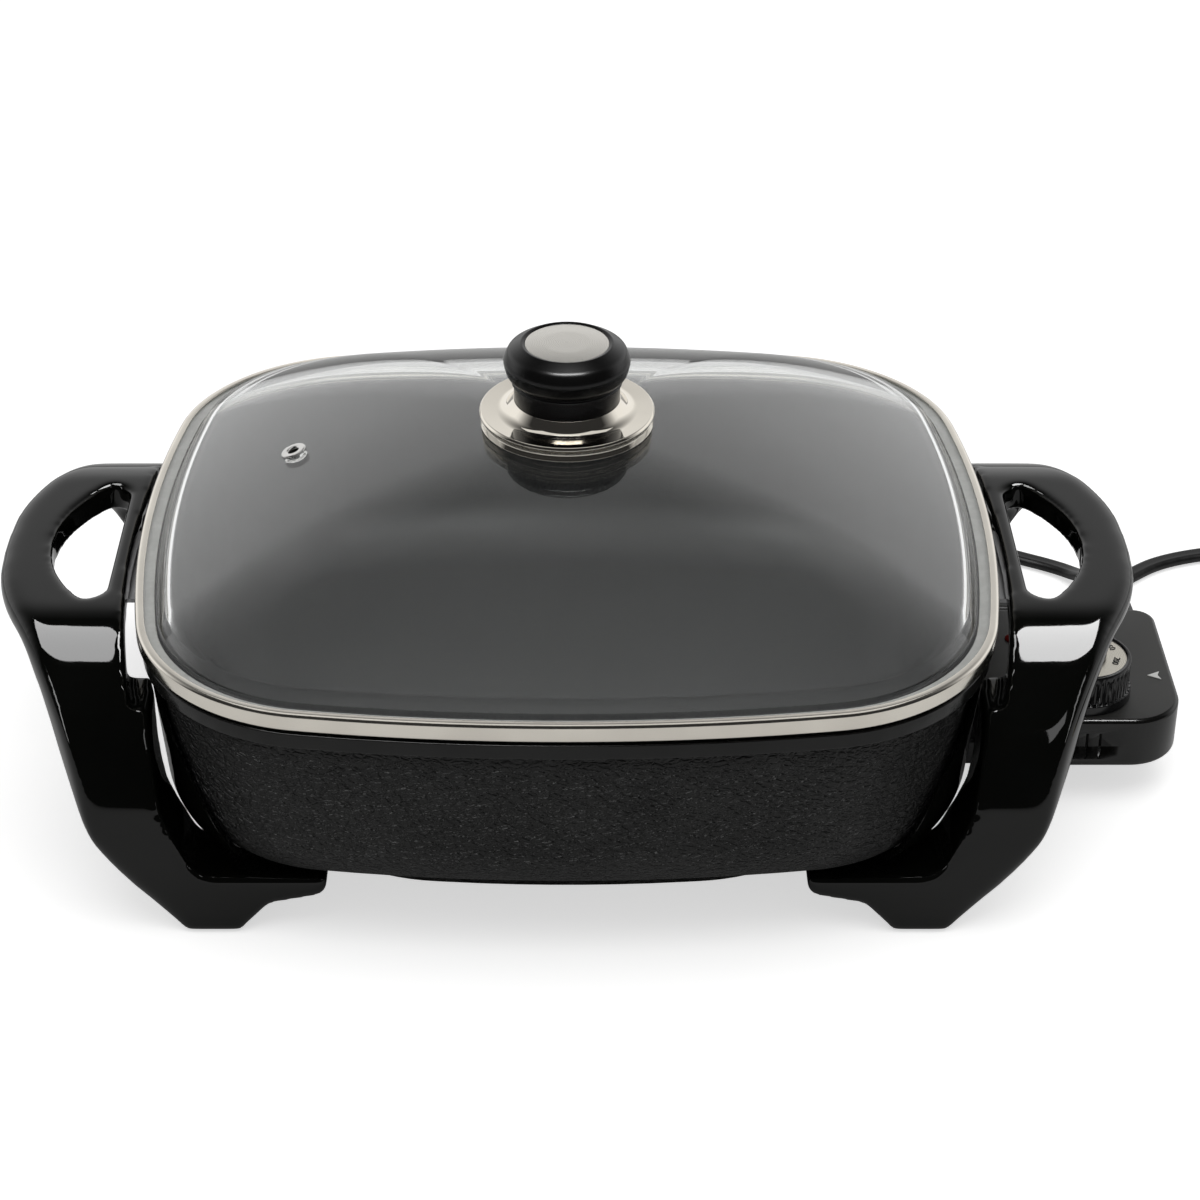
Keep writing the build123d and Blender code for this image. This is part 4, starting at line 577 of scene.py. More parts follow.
def ring_skin(name: str, rings: list[list[Vector]], closed: bool = True) -> bpy.types.Object:
    """Model a skin by extruding a ring of edges from one place to the next.

    Args:
        name: The piece's name.
        rings: Places of each ring's points in metres, as many in each ring.
        closed: Whether the last ring is joined to the first; otherwise both ends are capped.

    Returns:
        The piece, with its faces pointing outwards.
    """
    deselect_all()
    bpy.ops.mesh.primitive_circle_add(vertices=len(rings[0]), radius=0.1)
    piece = bpy.context.object
    piece.name = name
    bpy.ops.object.mode_set(mode="EDIT")
    mesh = bmesh.from_edit_mesh(piece.data)
    spoke = mesh.verts.layers.int.new("spoke")
    mesh.verts.layers.int.new("order")
    for index, vertex in enumerate(mesh.verts):
        vertex[spoke] = index
        vertex.co = rings[0][index]
    bmesh.update_edit_mesh(piece.data)
    for number, ring in enumerate(rings[1:], 1):
        bpy.ops.mesh.extrude_edges_move()
        mesh = bmesh.from_edit_mesh(piece.data)
        spoke, order = mesh.verts.layers.int["spoke"], mesh.verts.layers.int["order"]
        for vertex in mesh.verts:
            if vertex.select:
                vertex.co = ring[vertex[spoke]]
                vertex[order] = number
        bmesh.update_edit_mesh(piece.data)
    ends = (0, len(rings) - 1)
    for wanted in ([ends] if closed else [ends[:1], ends[1:]]):
        bpy.ops.mesh.select_all(action="DESELECT")
        mesh = bmesh.from_edit_mesh(piece.data)
        order = mesh.verts.layers.int["order"]
        for edge in mesh.edges:
            same = edge.verts[0][order] == edge.verts[1][order]
            edge.select_set(same and edge.verts[0][order] in wanted)
        mesh.select_flush_mode()
        bmesh.update_edit_mesh(piece.data)
        if closed:
            bpy.ops.mesh.bridge_edge_loops()
        else:
            bpy.ops.mesh.edge_face_add()
    bpy.ops.mesh.select_all(action="SELECT")
    bpy.ops.mesh.normals_make_consistent(inside=False)
    bpy.ops.object.mode_set(mode="OBJECT")
    return piece


def spun(name: str, profile: list[Pair], closed: bool, segments: int = 96) -> bpy.types.Object:
    """Model a round piece about the Z axis.

    Args:
        name: The piece's name.
        profile: Radii and heights in millimetres.
        closed: Whether the profile joins up; otherwise its two ends are capped.
        segments: Points round the piece.

    Returns:
        The piece.
    """
    turns = [2 * math.pi * step / segments for step in range(segments)]
    rings = [
        [MM * Vector((radius * math.cos(turn), radius * math.sin(turn), level)) for turn in turns]
        for radius, level in profile
    ]
    return ring_skin(name, rings, closed)


@dataclass(frozen=True)
class LidOutline:
    """Plan of the lid, made of eight arcs: four gentle bows and four corners. Sizes in millimetres."""

    length: float = 380.0
    depth: float = 338.0
    side_bow: float = 760.0
    end_bow: float = 580.0
    corner: float = 86.0
    steps: int = 44

    def corner_centre(self) -> Pair:
        """Centre of the corner arc that runs smoothly into both bows."""
        p, s = self.end_bow - self.length / 2, self.side_bow - self.depth / 2
        w, u = self.end_bow - self.corner, self.side_bow - self.corner
        slope, start = p / s, (u * u - w * w - s * s + p * p) / (2 * s)
        a, b, c = 1 + slope * slope, 2 * (p + start * slope), p * p + start * start - w * w
        x = (-b + math.sqrt(b * b - 4 * a * c)) / (2 * a)
        return x, start + slope * x

    def arcs(self) -> list[tuple[float, float, float, float, float]]:
        """Centre, radius, first angle and sweep of each arc, counterclockwise from the right end."""
        x, y = self.corner_centre()
        end_x, side_y = self.length / 2 - self.end_bow, self.depth / 2 - self.side_bow
        end, side = math.atan2(y, x - end_x), math.atan2(x, y - side_y)
        quarter, turn = math.pi / 2, math.pi / 2 - end - side
        return [
            (end_x, 0.0, self.end_bow, -end, 2 * end),
            (x, y, self.corner, end, turn),
            (0.0, side_y, self.side_bow, quarter - side, 2 * side),
            (-x, y, self.corner, quarter + side, turn),
            (-end_x, 0.0, self.end_bow, 2 * quarter - end, 2 * end),
            (-x, -y, self.corner, 2 * quarter + end, turn),
            (0.0, -side_y, self.side_bow, 3 * quarter - side, 2 * side),
            (x, -y, self.corner, 3 * quarter + side, turn),
        ]

    def ring(self, inset: float, level: float, scale: float = 1.0) -> list[Vector]:
        """Points along the outline.

        Args:
            inset: Distance inside the outline, in millimetres.
            level: Height, in millimetres.
            scale: Share of the size, about the centre.

        Returns:
            The points, in metres.
        """
        points = []
        for x, y, radius, first, sweep in self.arcs():
            for step in range(self.steps):
                angle = first + sweep * step / self.steps
                reach = radius - inset
                place = Vector((x + reach * math.cos(angle), y + reach * math.sin(angle)))
                points.append(MM * Vector((scale * place.x, scale * place.y, level)))
        return points


@dataclass
class Workshop:
    """The loaded frame and the calls that report a finished piece.

    Attributes:
    """

    frame: dict

    def body(self, node: str) -> str:
        """The body that a CAD node rides on."""
        bodies = self.frame["record"]["behaviour"]["bodies"]
        return next(body for body, members in bodies.items() if node in members)

    def file(self, piece: bpy.types.Object, node: str, degrees: float, *finishes: Finish) -> bpy.types.Object:
        """Finish a piece, let it ride with a node's body and hide the node that it stands for.

        Args:
            piece: The piece.
            node: The CAD node that it stands for.
            degrees: Angle over which an edge stays crisp.
            finishes: What to dress it with, or nothing if it is dressed.

        Returns:
            The piece.
        """
        if finishes:
            dress(piece, *finishes)
        smooth(piece, degrees)
        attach(piece, self.body(node))
        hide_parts(node)
        LOG.info("%s rides on %s", piece.name, self.body(node))
        return piece

    def copy(self, node: str, name: str) -> bpy.types.Object:
        """A merged copy of a node's mesh, as a free object.

        Args:
            node: The CAD node to copy.
            name: The new object's name.

        Returns:
            The copy, with its doubles merged.
        """
        source = self.frame["nodes"][node]
        piece = bpy.data.objects.new(name, source.data.copy())
        bpy.context.scene.collection.objects.link(piece)
        take(piece)
        bpy.ops.object.mode_set(mode="EDIT")
        bpy.ops.mesh.select_all(action="SELECT")
        bpy.ops.mesh.remove_doubles(threshold=1e-6)
        bpy.ops.mesh.tris_convert_to_quads()
        bpy.ops.object.mode_set(mode="OBJECT")
        return piece

    def finished_copy(self, node: str, finish: Finish, degrees: float = 30.0,
                      bevel: float = 0.0) -> bpy.types.Object:
        """A merged, smoothed and dressed copy of a node that stands for it.

        Args:
            node: The CAD node.
            finish: Its finish.
            degrees: Angle over which an edge stays crisp.
            bevel: Width of a rounding on the crisp edges, in metres.

        Returns:
            The finished piece.
        """
        piece = self.copy(node, f"{node}_dressed")
        dress(piece, finish)
        if bevel > 0.0:
            rounding = piece.modifiers.new("edge", "BEVEL")
            rounding.width = bevel
            rounding.segments = 3
            rounding.limit_method = "ANGLE"
            rounding.angle_limit = math.radians(degrees)
            apply_all(piece)
        return self.file(piece, node, degrees)


# ----studio


class Gloss(Enum):
    """Group of pieces that share soft boxes, which show in their gloss only."""

    HANDLES = "handles"
    SATIN = "satin"
    METAL = "metal"
    CAST = "cast"


@dataclass(frozen=True)
class SoftBox:
    """A lamp for one group's gloss or, without a group, for matt shading only."""

    name: str
    group: Gloss | None
    place: Point
    size: Pair
    radiance: float


@dataclass
class Studio:
    """Camera, floor, world and soft lights round the skillet."""

    elevation: float = 31.5
    distance: float = 1.370
    look_height: float = 0.090
    lens: float = 90.0
    shift_x: float = 0.0275
    floor_size: float = 12.0
    floor_level: float = -0.0002
    floor_colour: Colour = (0.86, 0.86, 0.855)
    floor_glow: float = 0.60
    ambient: float = 0.36
    dark: float = 0.03
    backdrop_top: Pair = (0.36, 0.80)
    backdrop_edge: Pair = (-0.10, 0.30)
    aim: Point = (0.0, 0.0, 0.08)
    matt_key: SoftBox = SoftBox("matt_key", None, (0.2, -0.5, 2.3), (2.4, 1.8), 1.9)
    soft_boxes: tuple[SoftBox, ...] = (
        SoftBox("left_overhead", Gloss.HANDLES, (-0.75, 0.30, 2.15), (1.3, 1.05), 13.0),
        SoftBox("right_overhead", Gloss.HANDLES, (0.75, 0.30, 2.15), (1.3, 1.05), 24.0),
        SoftBox("front_patch", Gloss.HANDLES, (0.95, -1.45, 1.55), (0.7, 0.36), 3.0),
        SoftBox("left_strip", Gloss.HANDLES, (-1.9, -0.75, 0.75), (0.16, 1.0), 8.0),
        SoftBox("right_strip", Gloss.HANDLES, (1.9, -0.75, 0.75), (0.16, 1.0), 5.0),
        SoftBox("satin_box", Gloss.SATIN, (0.05, -0.62, 2.1), (1.35, 0.62), 24.0),
        SoftBox("metal_box", Gloss.METAL, (0.0, 0.2, 2.1), (2.4, 1.6), 0.75),
        SoftBox("cast_box", Gloss.CAST, (-0.7, -1.4, 1.8), (1.6, 0.5), 12.0),
    )
    groups: dict[Gloss, bpy.types.Collection] = field(default_factory=dict)

    def camera(self) -> None:
        """Make the camera."""
        angle = math.radians(self.elevation)
        data = bpy.data.cameras.new("camera")
        data.lens = self.lens
        data.sensor_width = 36.0
        data.shift_x = self.shift_x
        data.clip_end = 50.0
        camera = bpy.data.objects.new("camera", data)
        height = self.look_height + self.distance * math.sin(angle)
        camera.location = (0.0, -self.distance * math.cos(angle), height)
        camera.rotation_euler = (math.pi / 2 - angle, 0.0, 0.0)
        bpy.context.scene.collection.objects.link(camera)
        bpy.context.scene.camera = camera

    def floor(self) -> None:
        """Make the pale floor, which keeps the skillet's shadow."""
        deselect_all()
        bpy.ops.mesh.primitive_plane_add(size=self.floor_size, location=(0.0, 0.0, self.floor_level))
        floor = bpy.context.object
        floor.name = "floor"
        book = NodeBook.start("floor_white")
        diffuse = book.add("ShaderNodeBsdfDiffuse", Color=(*self.floor_colour, 1.0)).outputs[0]
        glow = book.add("ShaderNodeEmission", Strength=self.floor_glow)
        bright = book.join("ShaderNodeAddShader", diffuse, glow.outputs[0])
        plain = book.join("ShaderNodeMixShader", self.in_view(book), diffuse, bright.outputs[0])
        floor.data.materials.append(book.finish(plain))

    @staticmethod
    def in_view(book: NodeBook) -> Socket:
        """One for rays from the camera, also through glass, and nought for the others."""
        path = book.add("ShaderNodeLightPath")
        return book.combine("MAXIMUM", path.outputs["Is Camera Ray"], path.outputs["Is Transmission Ray"])

    def world(self) -> None:
        """Make the world: white in view, soft grey to matt surfaces, a white backdrop behind for gloss."""
        white = (1.0, 1.0, 1.0)
        world = bpy.data.worlds.new("studio")
        bpy.context.scene.world = world
        book = NodeBook.of(world)
        split = book.join("ShaderNodeSeparateXYZ", book.add("ShaderNodeTexCoord").outputs["Generated"])
        low = book.ramp(split.outputs["Z"], 1.0, 0.0, *self.backdrop_top)
        behind = book.ramp(split.outputs["Y"], 0.0, 1.0, *self.backdrop_edge)
        gloss = book.blend(book.combine("MULTIPLY", low, behind), (self.dark,) * 3, white)
        glossy = book.add("ShaderNodeLightPath").outputs["Is Glossy Ray"]
        lit = book.blend(glossy, (self.ambient,) * 3, gloss)
        background = book.join("ShaderNodeBackground", book.blend(self.in_view(book), lit, white))
        book.finish(background, "ShaderNodeOutputWorld")

    def lamp(self, box: SoftBox) -> bpy.types.Object:
        """Make a soft box that points at the skillet."""
        data = bpy.data.lights.new(box.name, "AREA")
        data.shape = "RECTANGLE"
        data.size, data.size_y = box.size
        data.energy = box.radiance * math.pi * box.size[0] * box.size[1]
        lamp = bpy.data.objects.new(box.name, data)
        lamp.location = box.place
        lamp.rotation_euler = (Vector(self.aim) - Vector(box.place)).to_track_quat("-Z", "Y").to_euler()
        lamp.visible_camera = False
        lamp.visible_transmission = False
        lamp.visible_diffuse = box.group is None
        lamp.visible_glossy = box.group is not None
        bpy.context.scene.collection.objects.link(lamp)
        return lamp

    def build(self) -> None:
        """Make the whole studio."""
        bpy.context.scene.view_settings.view_transform = "Standard"
        self.camera()
        self.floor()
        self.world()
        self.lamp(self.matt_key)
        for box in self.soft_boxes:
            lamp = self.lamp(box)
            group = self.groups.setdefault(box.group, bpy.data.collections.new(f"gloss_{box.group.value}"))
            lamp.light_linking.receiver_collection = group

    def show_gloss(self) -> None:
        """Put every dressed piece in the group that its first material belongs to."""
        groups = {
            Gloss.HANDLES: (Finish.HANDLE,),
            Gloss.SATIN: (Finish.KNOB, Finish.DIAL, Finish.CAP, Finish.CASE_EDGE, Finish.LEAD, Finish.SHIELD),
            Gloss.METAL: (Finish.RIM, Finish.KNOB_BASE, Finish.VENT, Finish.INSERT, Finish.RING, Finish.SHEET,
                          Finish.SCREW, Finish.PROBE, Finish.BRASS, Finish.CONTACT),
            Gloss.CAST: (Finish.CAST,),
        }
        group_of = {finish.material(): group for group, finishes in groups.items() for finish in finishes}
        for piece in list(bpy.context.scene.objects):
            if piece.type == "MESH" and piece.data.materials:
                group = group_of.get(piece.data.materials[0])
                if group is not None:
                    self.groups[group].objects.link(piece)


# ----mains lead


@dataclass
class MainsLead:
    """Flat twin lead with its strain relief and plug."""

    workshop: Workshop
    width: float = 0.009
    thickness: float = 0.005
    level: float = 0.0032
    plug_level: float = 0.0075
    exit_point: Point = (0.271, 0.096, 0.034)
    waist: float = 0.78
    descent: tuple[Point, ...] = ((0.271, 0.118, 0.034), (0.2693, 0.143, 0.0175), (0.266, 0.161, 0.0055))
    flat_run: tuple[Pair, ...] = (
        (0.255, 0.1745), (0.232, 0.1865), (0.197, 0.2085), (0.1555, 0.2285), (0.1245, 0.221),
        (0.106, 0.1955), (0.1085, 0.164), (0.1305, 0.1415), (0.168, 0.140), (0.206, 0.1358),
        (0.243, 0.1329), (0.264, 0.1379), (0.291, 0.165), (0.311, 0.181), (0.346, 0.191),
        (0.384, 0.188), (0.416, 0.166), (0.432, 0.130), (0.428, 0.090), (0.412, 0.054),
    )
    plug_run: tuple[Pair, ...] = ((0.399, 0.026), (0.399, -0.002))

    def route(self) -> list[Point]:
        """Corners of the route, from the strain relief to the plug."""
        flat = [(x, y, self.level) for x, y in self.flat_run]
        plug = [(x, y, self.plug_level) for x, y in self.plug_run]
        return [self.exit_point, *self.descent, *flat, *plug]

    @staticmethod
    def curve(name: str, kind: str, dimensions: str, points: list[Point]) -> bpy.types.Object:
        """A curve through points.

        Args:
            name: The curve's name.
            kind: Blender's name of the spline type.
            dimensions: "2D" or "3D".
            points: The spline's points.

        Returns:
            The curve, with one spline and no thickness.
        """
        data = bpy.data.curves.new(name, "CURVE")
        data.dimensions = dimensions
        spline = data.splines.new(kind)
        spline.points.add(len(points) - 1)
        for target, point in zip(spline.points, points):
            target.co = (*point, 1.0)
        curve = bpy.data.objects.new(name, data)
        bpy.context.scene.collection.objects.link(curve)
        return curve

    def spline(self, name: str) -> bpy.types.Object:
        """Smooth curve through the route, without thickness."""
        curve = self.curve(name, "NURBS", "3D", self.route())
        curve.data.twist_mode = "Z_UP"
        spline = curve.data.splines[0]
        spline.order_u = 3
        spline.use_endpoint_u = True
        spline.resolution_u = 8
        return curve

    def centre_line(self) -> list[Point]:
        """Points along the smooth curve, as Blender evaluates it."""
        curve = self.spline("lead_line")
        bpy.context.view_layer.update()
        mesh = bpy.data.meshes.new_from_object(curve)
        points = [tuple(vertex.co) for vertex in mesh.vertices]
        bpy.data.meshes.remove(mesh)
        bpy.data.objects.remove(curve)
        return points

    def section(self) -> bpy.types.Object:
        """Outline of the flat twin lead: two round cores joined by a waist."""
        radius = self.thickness / 2
        offset = self.width / 2 - radius
        points = []
        for side in (1, -1):
            for step in range(9):
                angle = math.pi * (step / 8 - side / 2)
                points.append((side * offset + radius * math.cos(angle), radius * math.sin(angle), 0.0))
            points.append((0.0, side * radius * self.waist, 0.0))
        outline = self.curve("lead_section", "POLY", "2D", points)
        outline.data.splines[0].use_cyclic_u = True
        return outline

    def build(self) -> None:
        path = self.centre_line()
        outline = self.section()
        lead = self.spline("power_lead")
        lead.data.bevel_mode = "OBJECT"
        lead.data.bevel_object = outline
        lead.data.use_fill_caps = True
        take(lead)
        bpy.ops.object.convert(target="MESH")
        lead = bpy.context.object
        bpy.data.objects.remove(outline)
        self.workshop.file(lead, "power_cord", 40.0, Finish.LEAD)
        self.workshop.finished_copy("strain_relief", Finish.LEAD, 35.0)
        plug = self.workshop.finished_copy("plug_body", Finish.LEAD, 35.0)
        blades = self.workshop.finished_copy("plug_blades", Finish.BRASS, 30.0, 0.0002)


# ----pan and handles


@dataclass
class Pan:
    """Cast pan with two finishes, its element, terminals and guard."""

    workshop: Workshop
    inside_floor: float = 0.0335
    cove_top: float = 0.075
    cove_reach: float = 0.175

    def is_inside(self, centre: Vector, normal: Vector) -> bool:
        """Whether a face belongs to the nonstick inside."""
        across = Vector((centre.x, centre.y, 0.0))
        inwards = across.length > 0 and normal.dot(across.normalized()) < -0.05
        faces_up = normal.z > 0.3 and centre.z < self.cove_top and across.length < self.cove_reach
        return centre.z > self.inside_floor and (inwards or faces_up)

    def build(self) -> None:
        """Dress the pan and what is fixed under it."""
        pan = self.workshop.copy("pan_body", "pan_dressed")
        dress(pan, Finish.CAST, Finish.NONSTICK)
        for polygon in pan.data.polygons:
            polygon.material_index = int(self.is_inside(polygon.center, polygon.normal))
        self.workshop.file(pan, "pan_body", 32.0)
        for node, finish in (
            ("heating_element", Finish.ELEMENT),
            ("terminal_insulators", Finish.CERAMIC),
            ("terminal_pins", Finish.CONTACT),
            ("terminal_guard", Finish.SHEET),
            ("guard_screws", Finish.SCREW),
            ("handle_bracket_left", Finish.SHEET),
            ("handle_bracket_right", Finish.SHEET),
            ("bracket_screws", Finish.SCREW),
            ("arm_screws", Finish.SCREW),
            ("foot_pads", Finish.PAD),
        ):
            self.workshop.finished_copy(node, finish)
        for node in ("heat_shield_left", "heat_shield_right"):
            self.workshop.finished_copy(node, Finish.SHIELD, 30.0, 0.0006)


@dataclass
class Handles:
    """Arched handles with softly rounded edges, most of all along their outer side. Sizes in millimetres."""

    workshop: Workshop
    voxel: float = 1.3
    all_passes: int = 22
    outer_passes: int = 90
    outer_skin: float = 4.0
    outer_band: float = 16.0
    sole_top: float = 3.0
    sole_fade: float = 14.0
    grip_end: float = 253.5
    grip_flat: float = 36.0
    grip_taper: float = math.tan(math.radians(27.2))
    knee: Pair = (200.0, 35.0)
    flare: Pair = (228.5, 96.9)

    def outer_side(self, y: float, z: float) -> float:
        """Distance from the skillet's centre to a handle's outer side.

        Args:
            y: Place along the handle, in millimetres.
            z: Height, in millimetres.

        Returns:
            The distance, in millimetres.
        """
        plan = self.grip_end - max(0.0, abs(y) - self.grip_flat) * self.grip_taper
        slant = (self.flare[0] - self.knee[0]) / (self.flare[1] - self.knee[1])
        if z < self.knee[1]:
            front = self.knee[0] + z - self.knee[1]
        elif z < self.flare[1]:
            front = self.knee[0] + (z - self.knee[1]) * slant
        else:
            front = self.grip_end
        return min(plan, front)

    def softness(self, place: Vector) -> float:
        """How strongly a point is softened: fully outside, not at all far inside or at the soles."""
        x, y, z = abs(place.x) / MM, place.y / MM, place.z / MM
        depth = self.outer_side(y, z) - x
        side = min(1.0, max(0.0, 1.0 - (depth - self.outer_skin) / self.outer_band))
        sole = min(1.0, max(0.0, (z - self.sole_top) / self.sole_fade))
        return side * sole

    def build(self) -> None:
        """Round both handles and dress them."""
        for node in ("handle_left", "handle_right"):
            piece = self.workshop.copy(node, f"{node}_rounded")
            remesh = piece.modifiers.new("even", "REMESH")
            remesh.mode = "VOXEL"
            remesh.voxel_size = self.voxel * MM
            apply_all(piece)
            outer = piece.vertex_groups.new(name="outer")
            for vertex in piece.data.vertices:
                outer.add([vertex.index], self.softness(vertex.co), "REPLACE")
            for passes, group in ((self.all_passes, ""), (self.outer_passes, "outer")):
                soften = piece.modifiers.new("soften", "SMOOTH")
                soften.iterations = passes
                soften.vertex_group = group
            apply_all(piece)
            piece.vertex_groups.clear()
            self.workshop.file(piece, node, 60.0, Finish.HANDLE)


# ----lid and knob


@dataclass
class LidGlass:
    """Domed glass with a flat edge and a step, drilled for the knob and the vent. Sizes in millimetres."""

    workshop: Workshop
    outline: LidOutline = LidOutline()
    bottom: float = 129.2
    top: float = 133.2
    edge_inset: float = 1.1
    edge_rounding: float = 1.2
    step_inset: float = 9.5
    dome_inset: float = 13.0
    dome_level: float = 139.0
    dome_rise: float = 44.5
    dome_power: float = 2.2
    under_inset: float = 16.5
    under_level: float = 134.8
    flat_scale: float = 0.1
    hole: float = 3.5
    vent_bore: float = 8.1
    vent_place: Pair = (-121.5, 5.0)
    scales: tuple[float, ...] = (
        0.985, 0.965, 0.94, 0.91, 0.87, 0.82, 0.76, 0.69, 0.61, 0.52, 0.43, 0.34, 0.25, 0.17,
    )

    def dome_height(self, level: float, scale: float) -> float:
        """Height of a dome's surface at a share of its plan."""
        return level + self.dome_rise * (1.0 - max(scale, self.flat_scale) ** self.dome_power)

    def vent_frame(self) -> tuple[Vector, float]:
        """Centre of the vent on the dome, in millimetres, and its tilt about Y."""
        half = self.outline.length / 2 - self.dome_inset
        scale = -self.vent_place[0] / half
        slope = self.dome_rise * self.dome_power * scale ** (self.dome_power - 1) / half
        centre = Vector((*self.vent_place, self.dome_height(self.dome_level, scale)))
        return centre, -math.atan(slope)

    def hole_ring(self, level: float) -> list[Vector]:
        """Points round the knob's hole, beside the outline's points."""
        spokes = [Vector((point.x, point.y, 0.0)).normalized() for point in self.outline.ring(0.0, 0.0)]
        return [MM * (self.hole * spoke + Vector((0.0, 0.0, level))) for spoke in spokes]

    def rings(self) -> list[list[Vector]]:
        """Rings over the top from the edge to the hole, then back along the underside."""
        edge = [
            (self.edge_inset, self.bottom),
            (self.edge_inset, self.top),
            (self.step_inset, self.top),
            (self.dome_inset, self.dome_level),
            (self.dome_inset + 3.0, self.dome_level + 1.6),
        ]
        outer = rounded([(2 * self.step_inset, self.bottom)] + edge,
                        [0.0, self.edge_rounding, self.edge_rounding, 1.6, 1.6, 0.0], 5, False)
        over = [self.outline.ring(inset, level) for inset, level in outer[1:-1]]
        over += [
            self.outline.ring(self.dome_inset, self.dome_height(self.dome_level, scale), scale)
            for scale in self.scales + (self.flat_scale,)
        ]
        under = [
            self.outline.ring(self.under_inset, self.dome_height(self.under_level, scale), scale)
            for scale in (self.flat_scale,) + self.scales[::-1] + (1.0,)
        ]
        flat = self.dome_height(0.0, 0.0)
        hole = [self.hole_ring(self.dome_level + flat), self.hole_ring(self.under_level + flat)]
        return over + hole + under + [self.outline.ring(self.dome_inset, self.bottom)]

    def build(self) -> None:
        """Model the glass, drill it for the vent and dress it."""
        glass = ring_skin("lid_glass_domed", self.rings())
        centre, tilt = self.vent_frame()
        deselect_all()
        bpy.ops.mesh.primitive_cylinder_add(vertices=48, radius=self.vent_bore / 2 * MM, depth=24.0 * MM,
                                            location=centre * MM, rotation=(0.0, tilt, 0.0))
        drill = bpy.context.object
        bore = glass.modifiers.new("bore", "BOOLEAN")
        bore.operation = "DIFFERENCE"
        bore.object = drill
        apply_all(glass)
        bpy.data.objects.remove(drill)
        self.workshop.file(glass, "lid_glass", 38.0, Finish.GLASS)


@dataclass
class LidRim:
    """Polished steel channel that grips the glass. Sizes in millimetres."""

    workshop: Workshop
    outline: LidOutline = LidOutline()
    bottom: float = 125.5
    top: float = 134.0
    sheet: float = 0.8
    top_lip: float = 3.9
    bottom_lip: float = 9.0
    curl: float = 1.8
    skin: float = 0.06

    def build(self) -> None:
        """Model and dress the rim, a skin's depth inside the solid's outer face."""
        glass_top = self.top - self.sheet
        channel = [
            (self.skin, self.bottom),
            (self.skin, self.top),
            (self.top_lip, self.top),
            (self.top_lip, glass_top),
            (self.sheet, glass_top),
            (self.sheet, self.bottom + self.sheet),
            (self.bottom_lip, self.bottom + self.sheet),
            (self.bottom_lip, self.bottom),
        ]
        lip, inner = self.sheet * 0.45, self.curl - self.sheet
        section = rounded(channel, [self.curl, self.curl, lip, lip, inner, inner, lip, lip], 6)
        rim = ring_skin("lid_rim_polished", [self.outline.ring(inset, level) for inset, level in section])
        self.workshop.file(rim, "lid_rim", 50.0, Finish.RIM)


@dataclass
class SteamVent:
    """Turned grommet through the glass. Sizes in millimetres."""

    workshop: Workshop
    glass: LidGlass
    bore: float = 4.6
    stem: float = 8.0
    flange: float = 11.5
    flange_height: float = 1.3
    grip: float = 5.0
    seat: float = 0.1

    def build(self) -> None:
        """Model the grommet upright, then set it on the glass."""
        inner, stem, rim = self.bore / 2, self.stem / 2, self.flange / 2
        high, low = self.seat + self.flange_height, -self.grip - self.flange_height
        profile = rounded(
            [(inner, low), (inner, high), (rim, high), (rim, self.seat), (stem, self.seat),
             (stem, -self.grip), (rim - 0.5, -self.grip), (rim - 0.5, low)],
            [0.5, 1.1, 0.62, 0.4, 0.0, 0.0, 0.4, 0.6], 6,
        )
        vent = spun("steam_vent_turned", profile, True, 64)
        centre, tilt = self.glass.vent_frame()
        vent.rotation_euler = (0.0, tilt, 0.0)
        vent.location = centre * MM
        take(vent)
        bpy.ops.object.transform_apply(location=True, rotation=True, scale=True)
        self.workshop.file(vent, "steam_vent", 40.0, Finish.VENT)


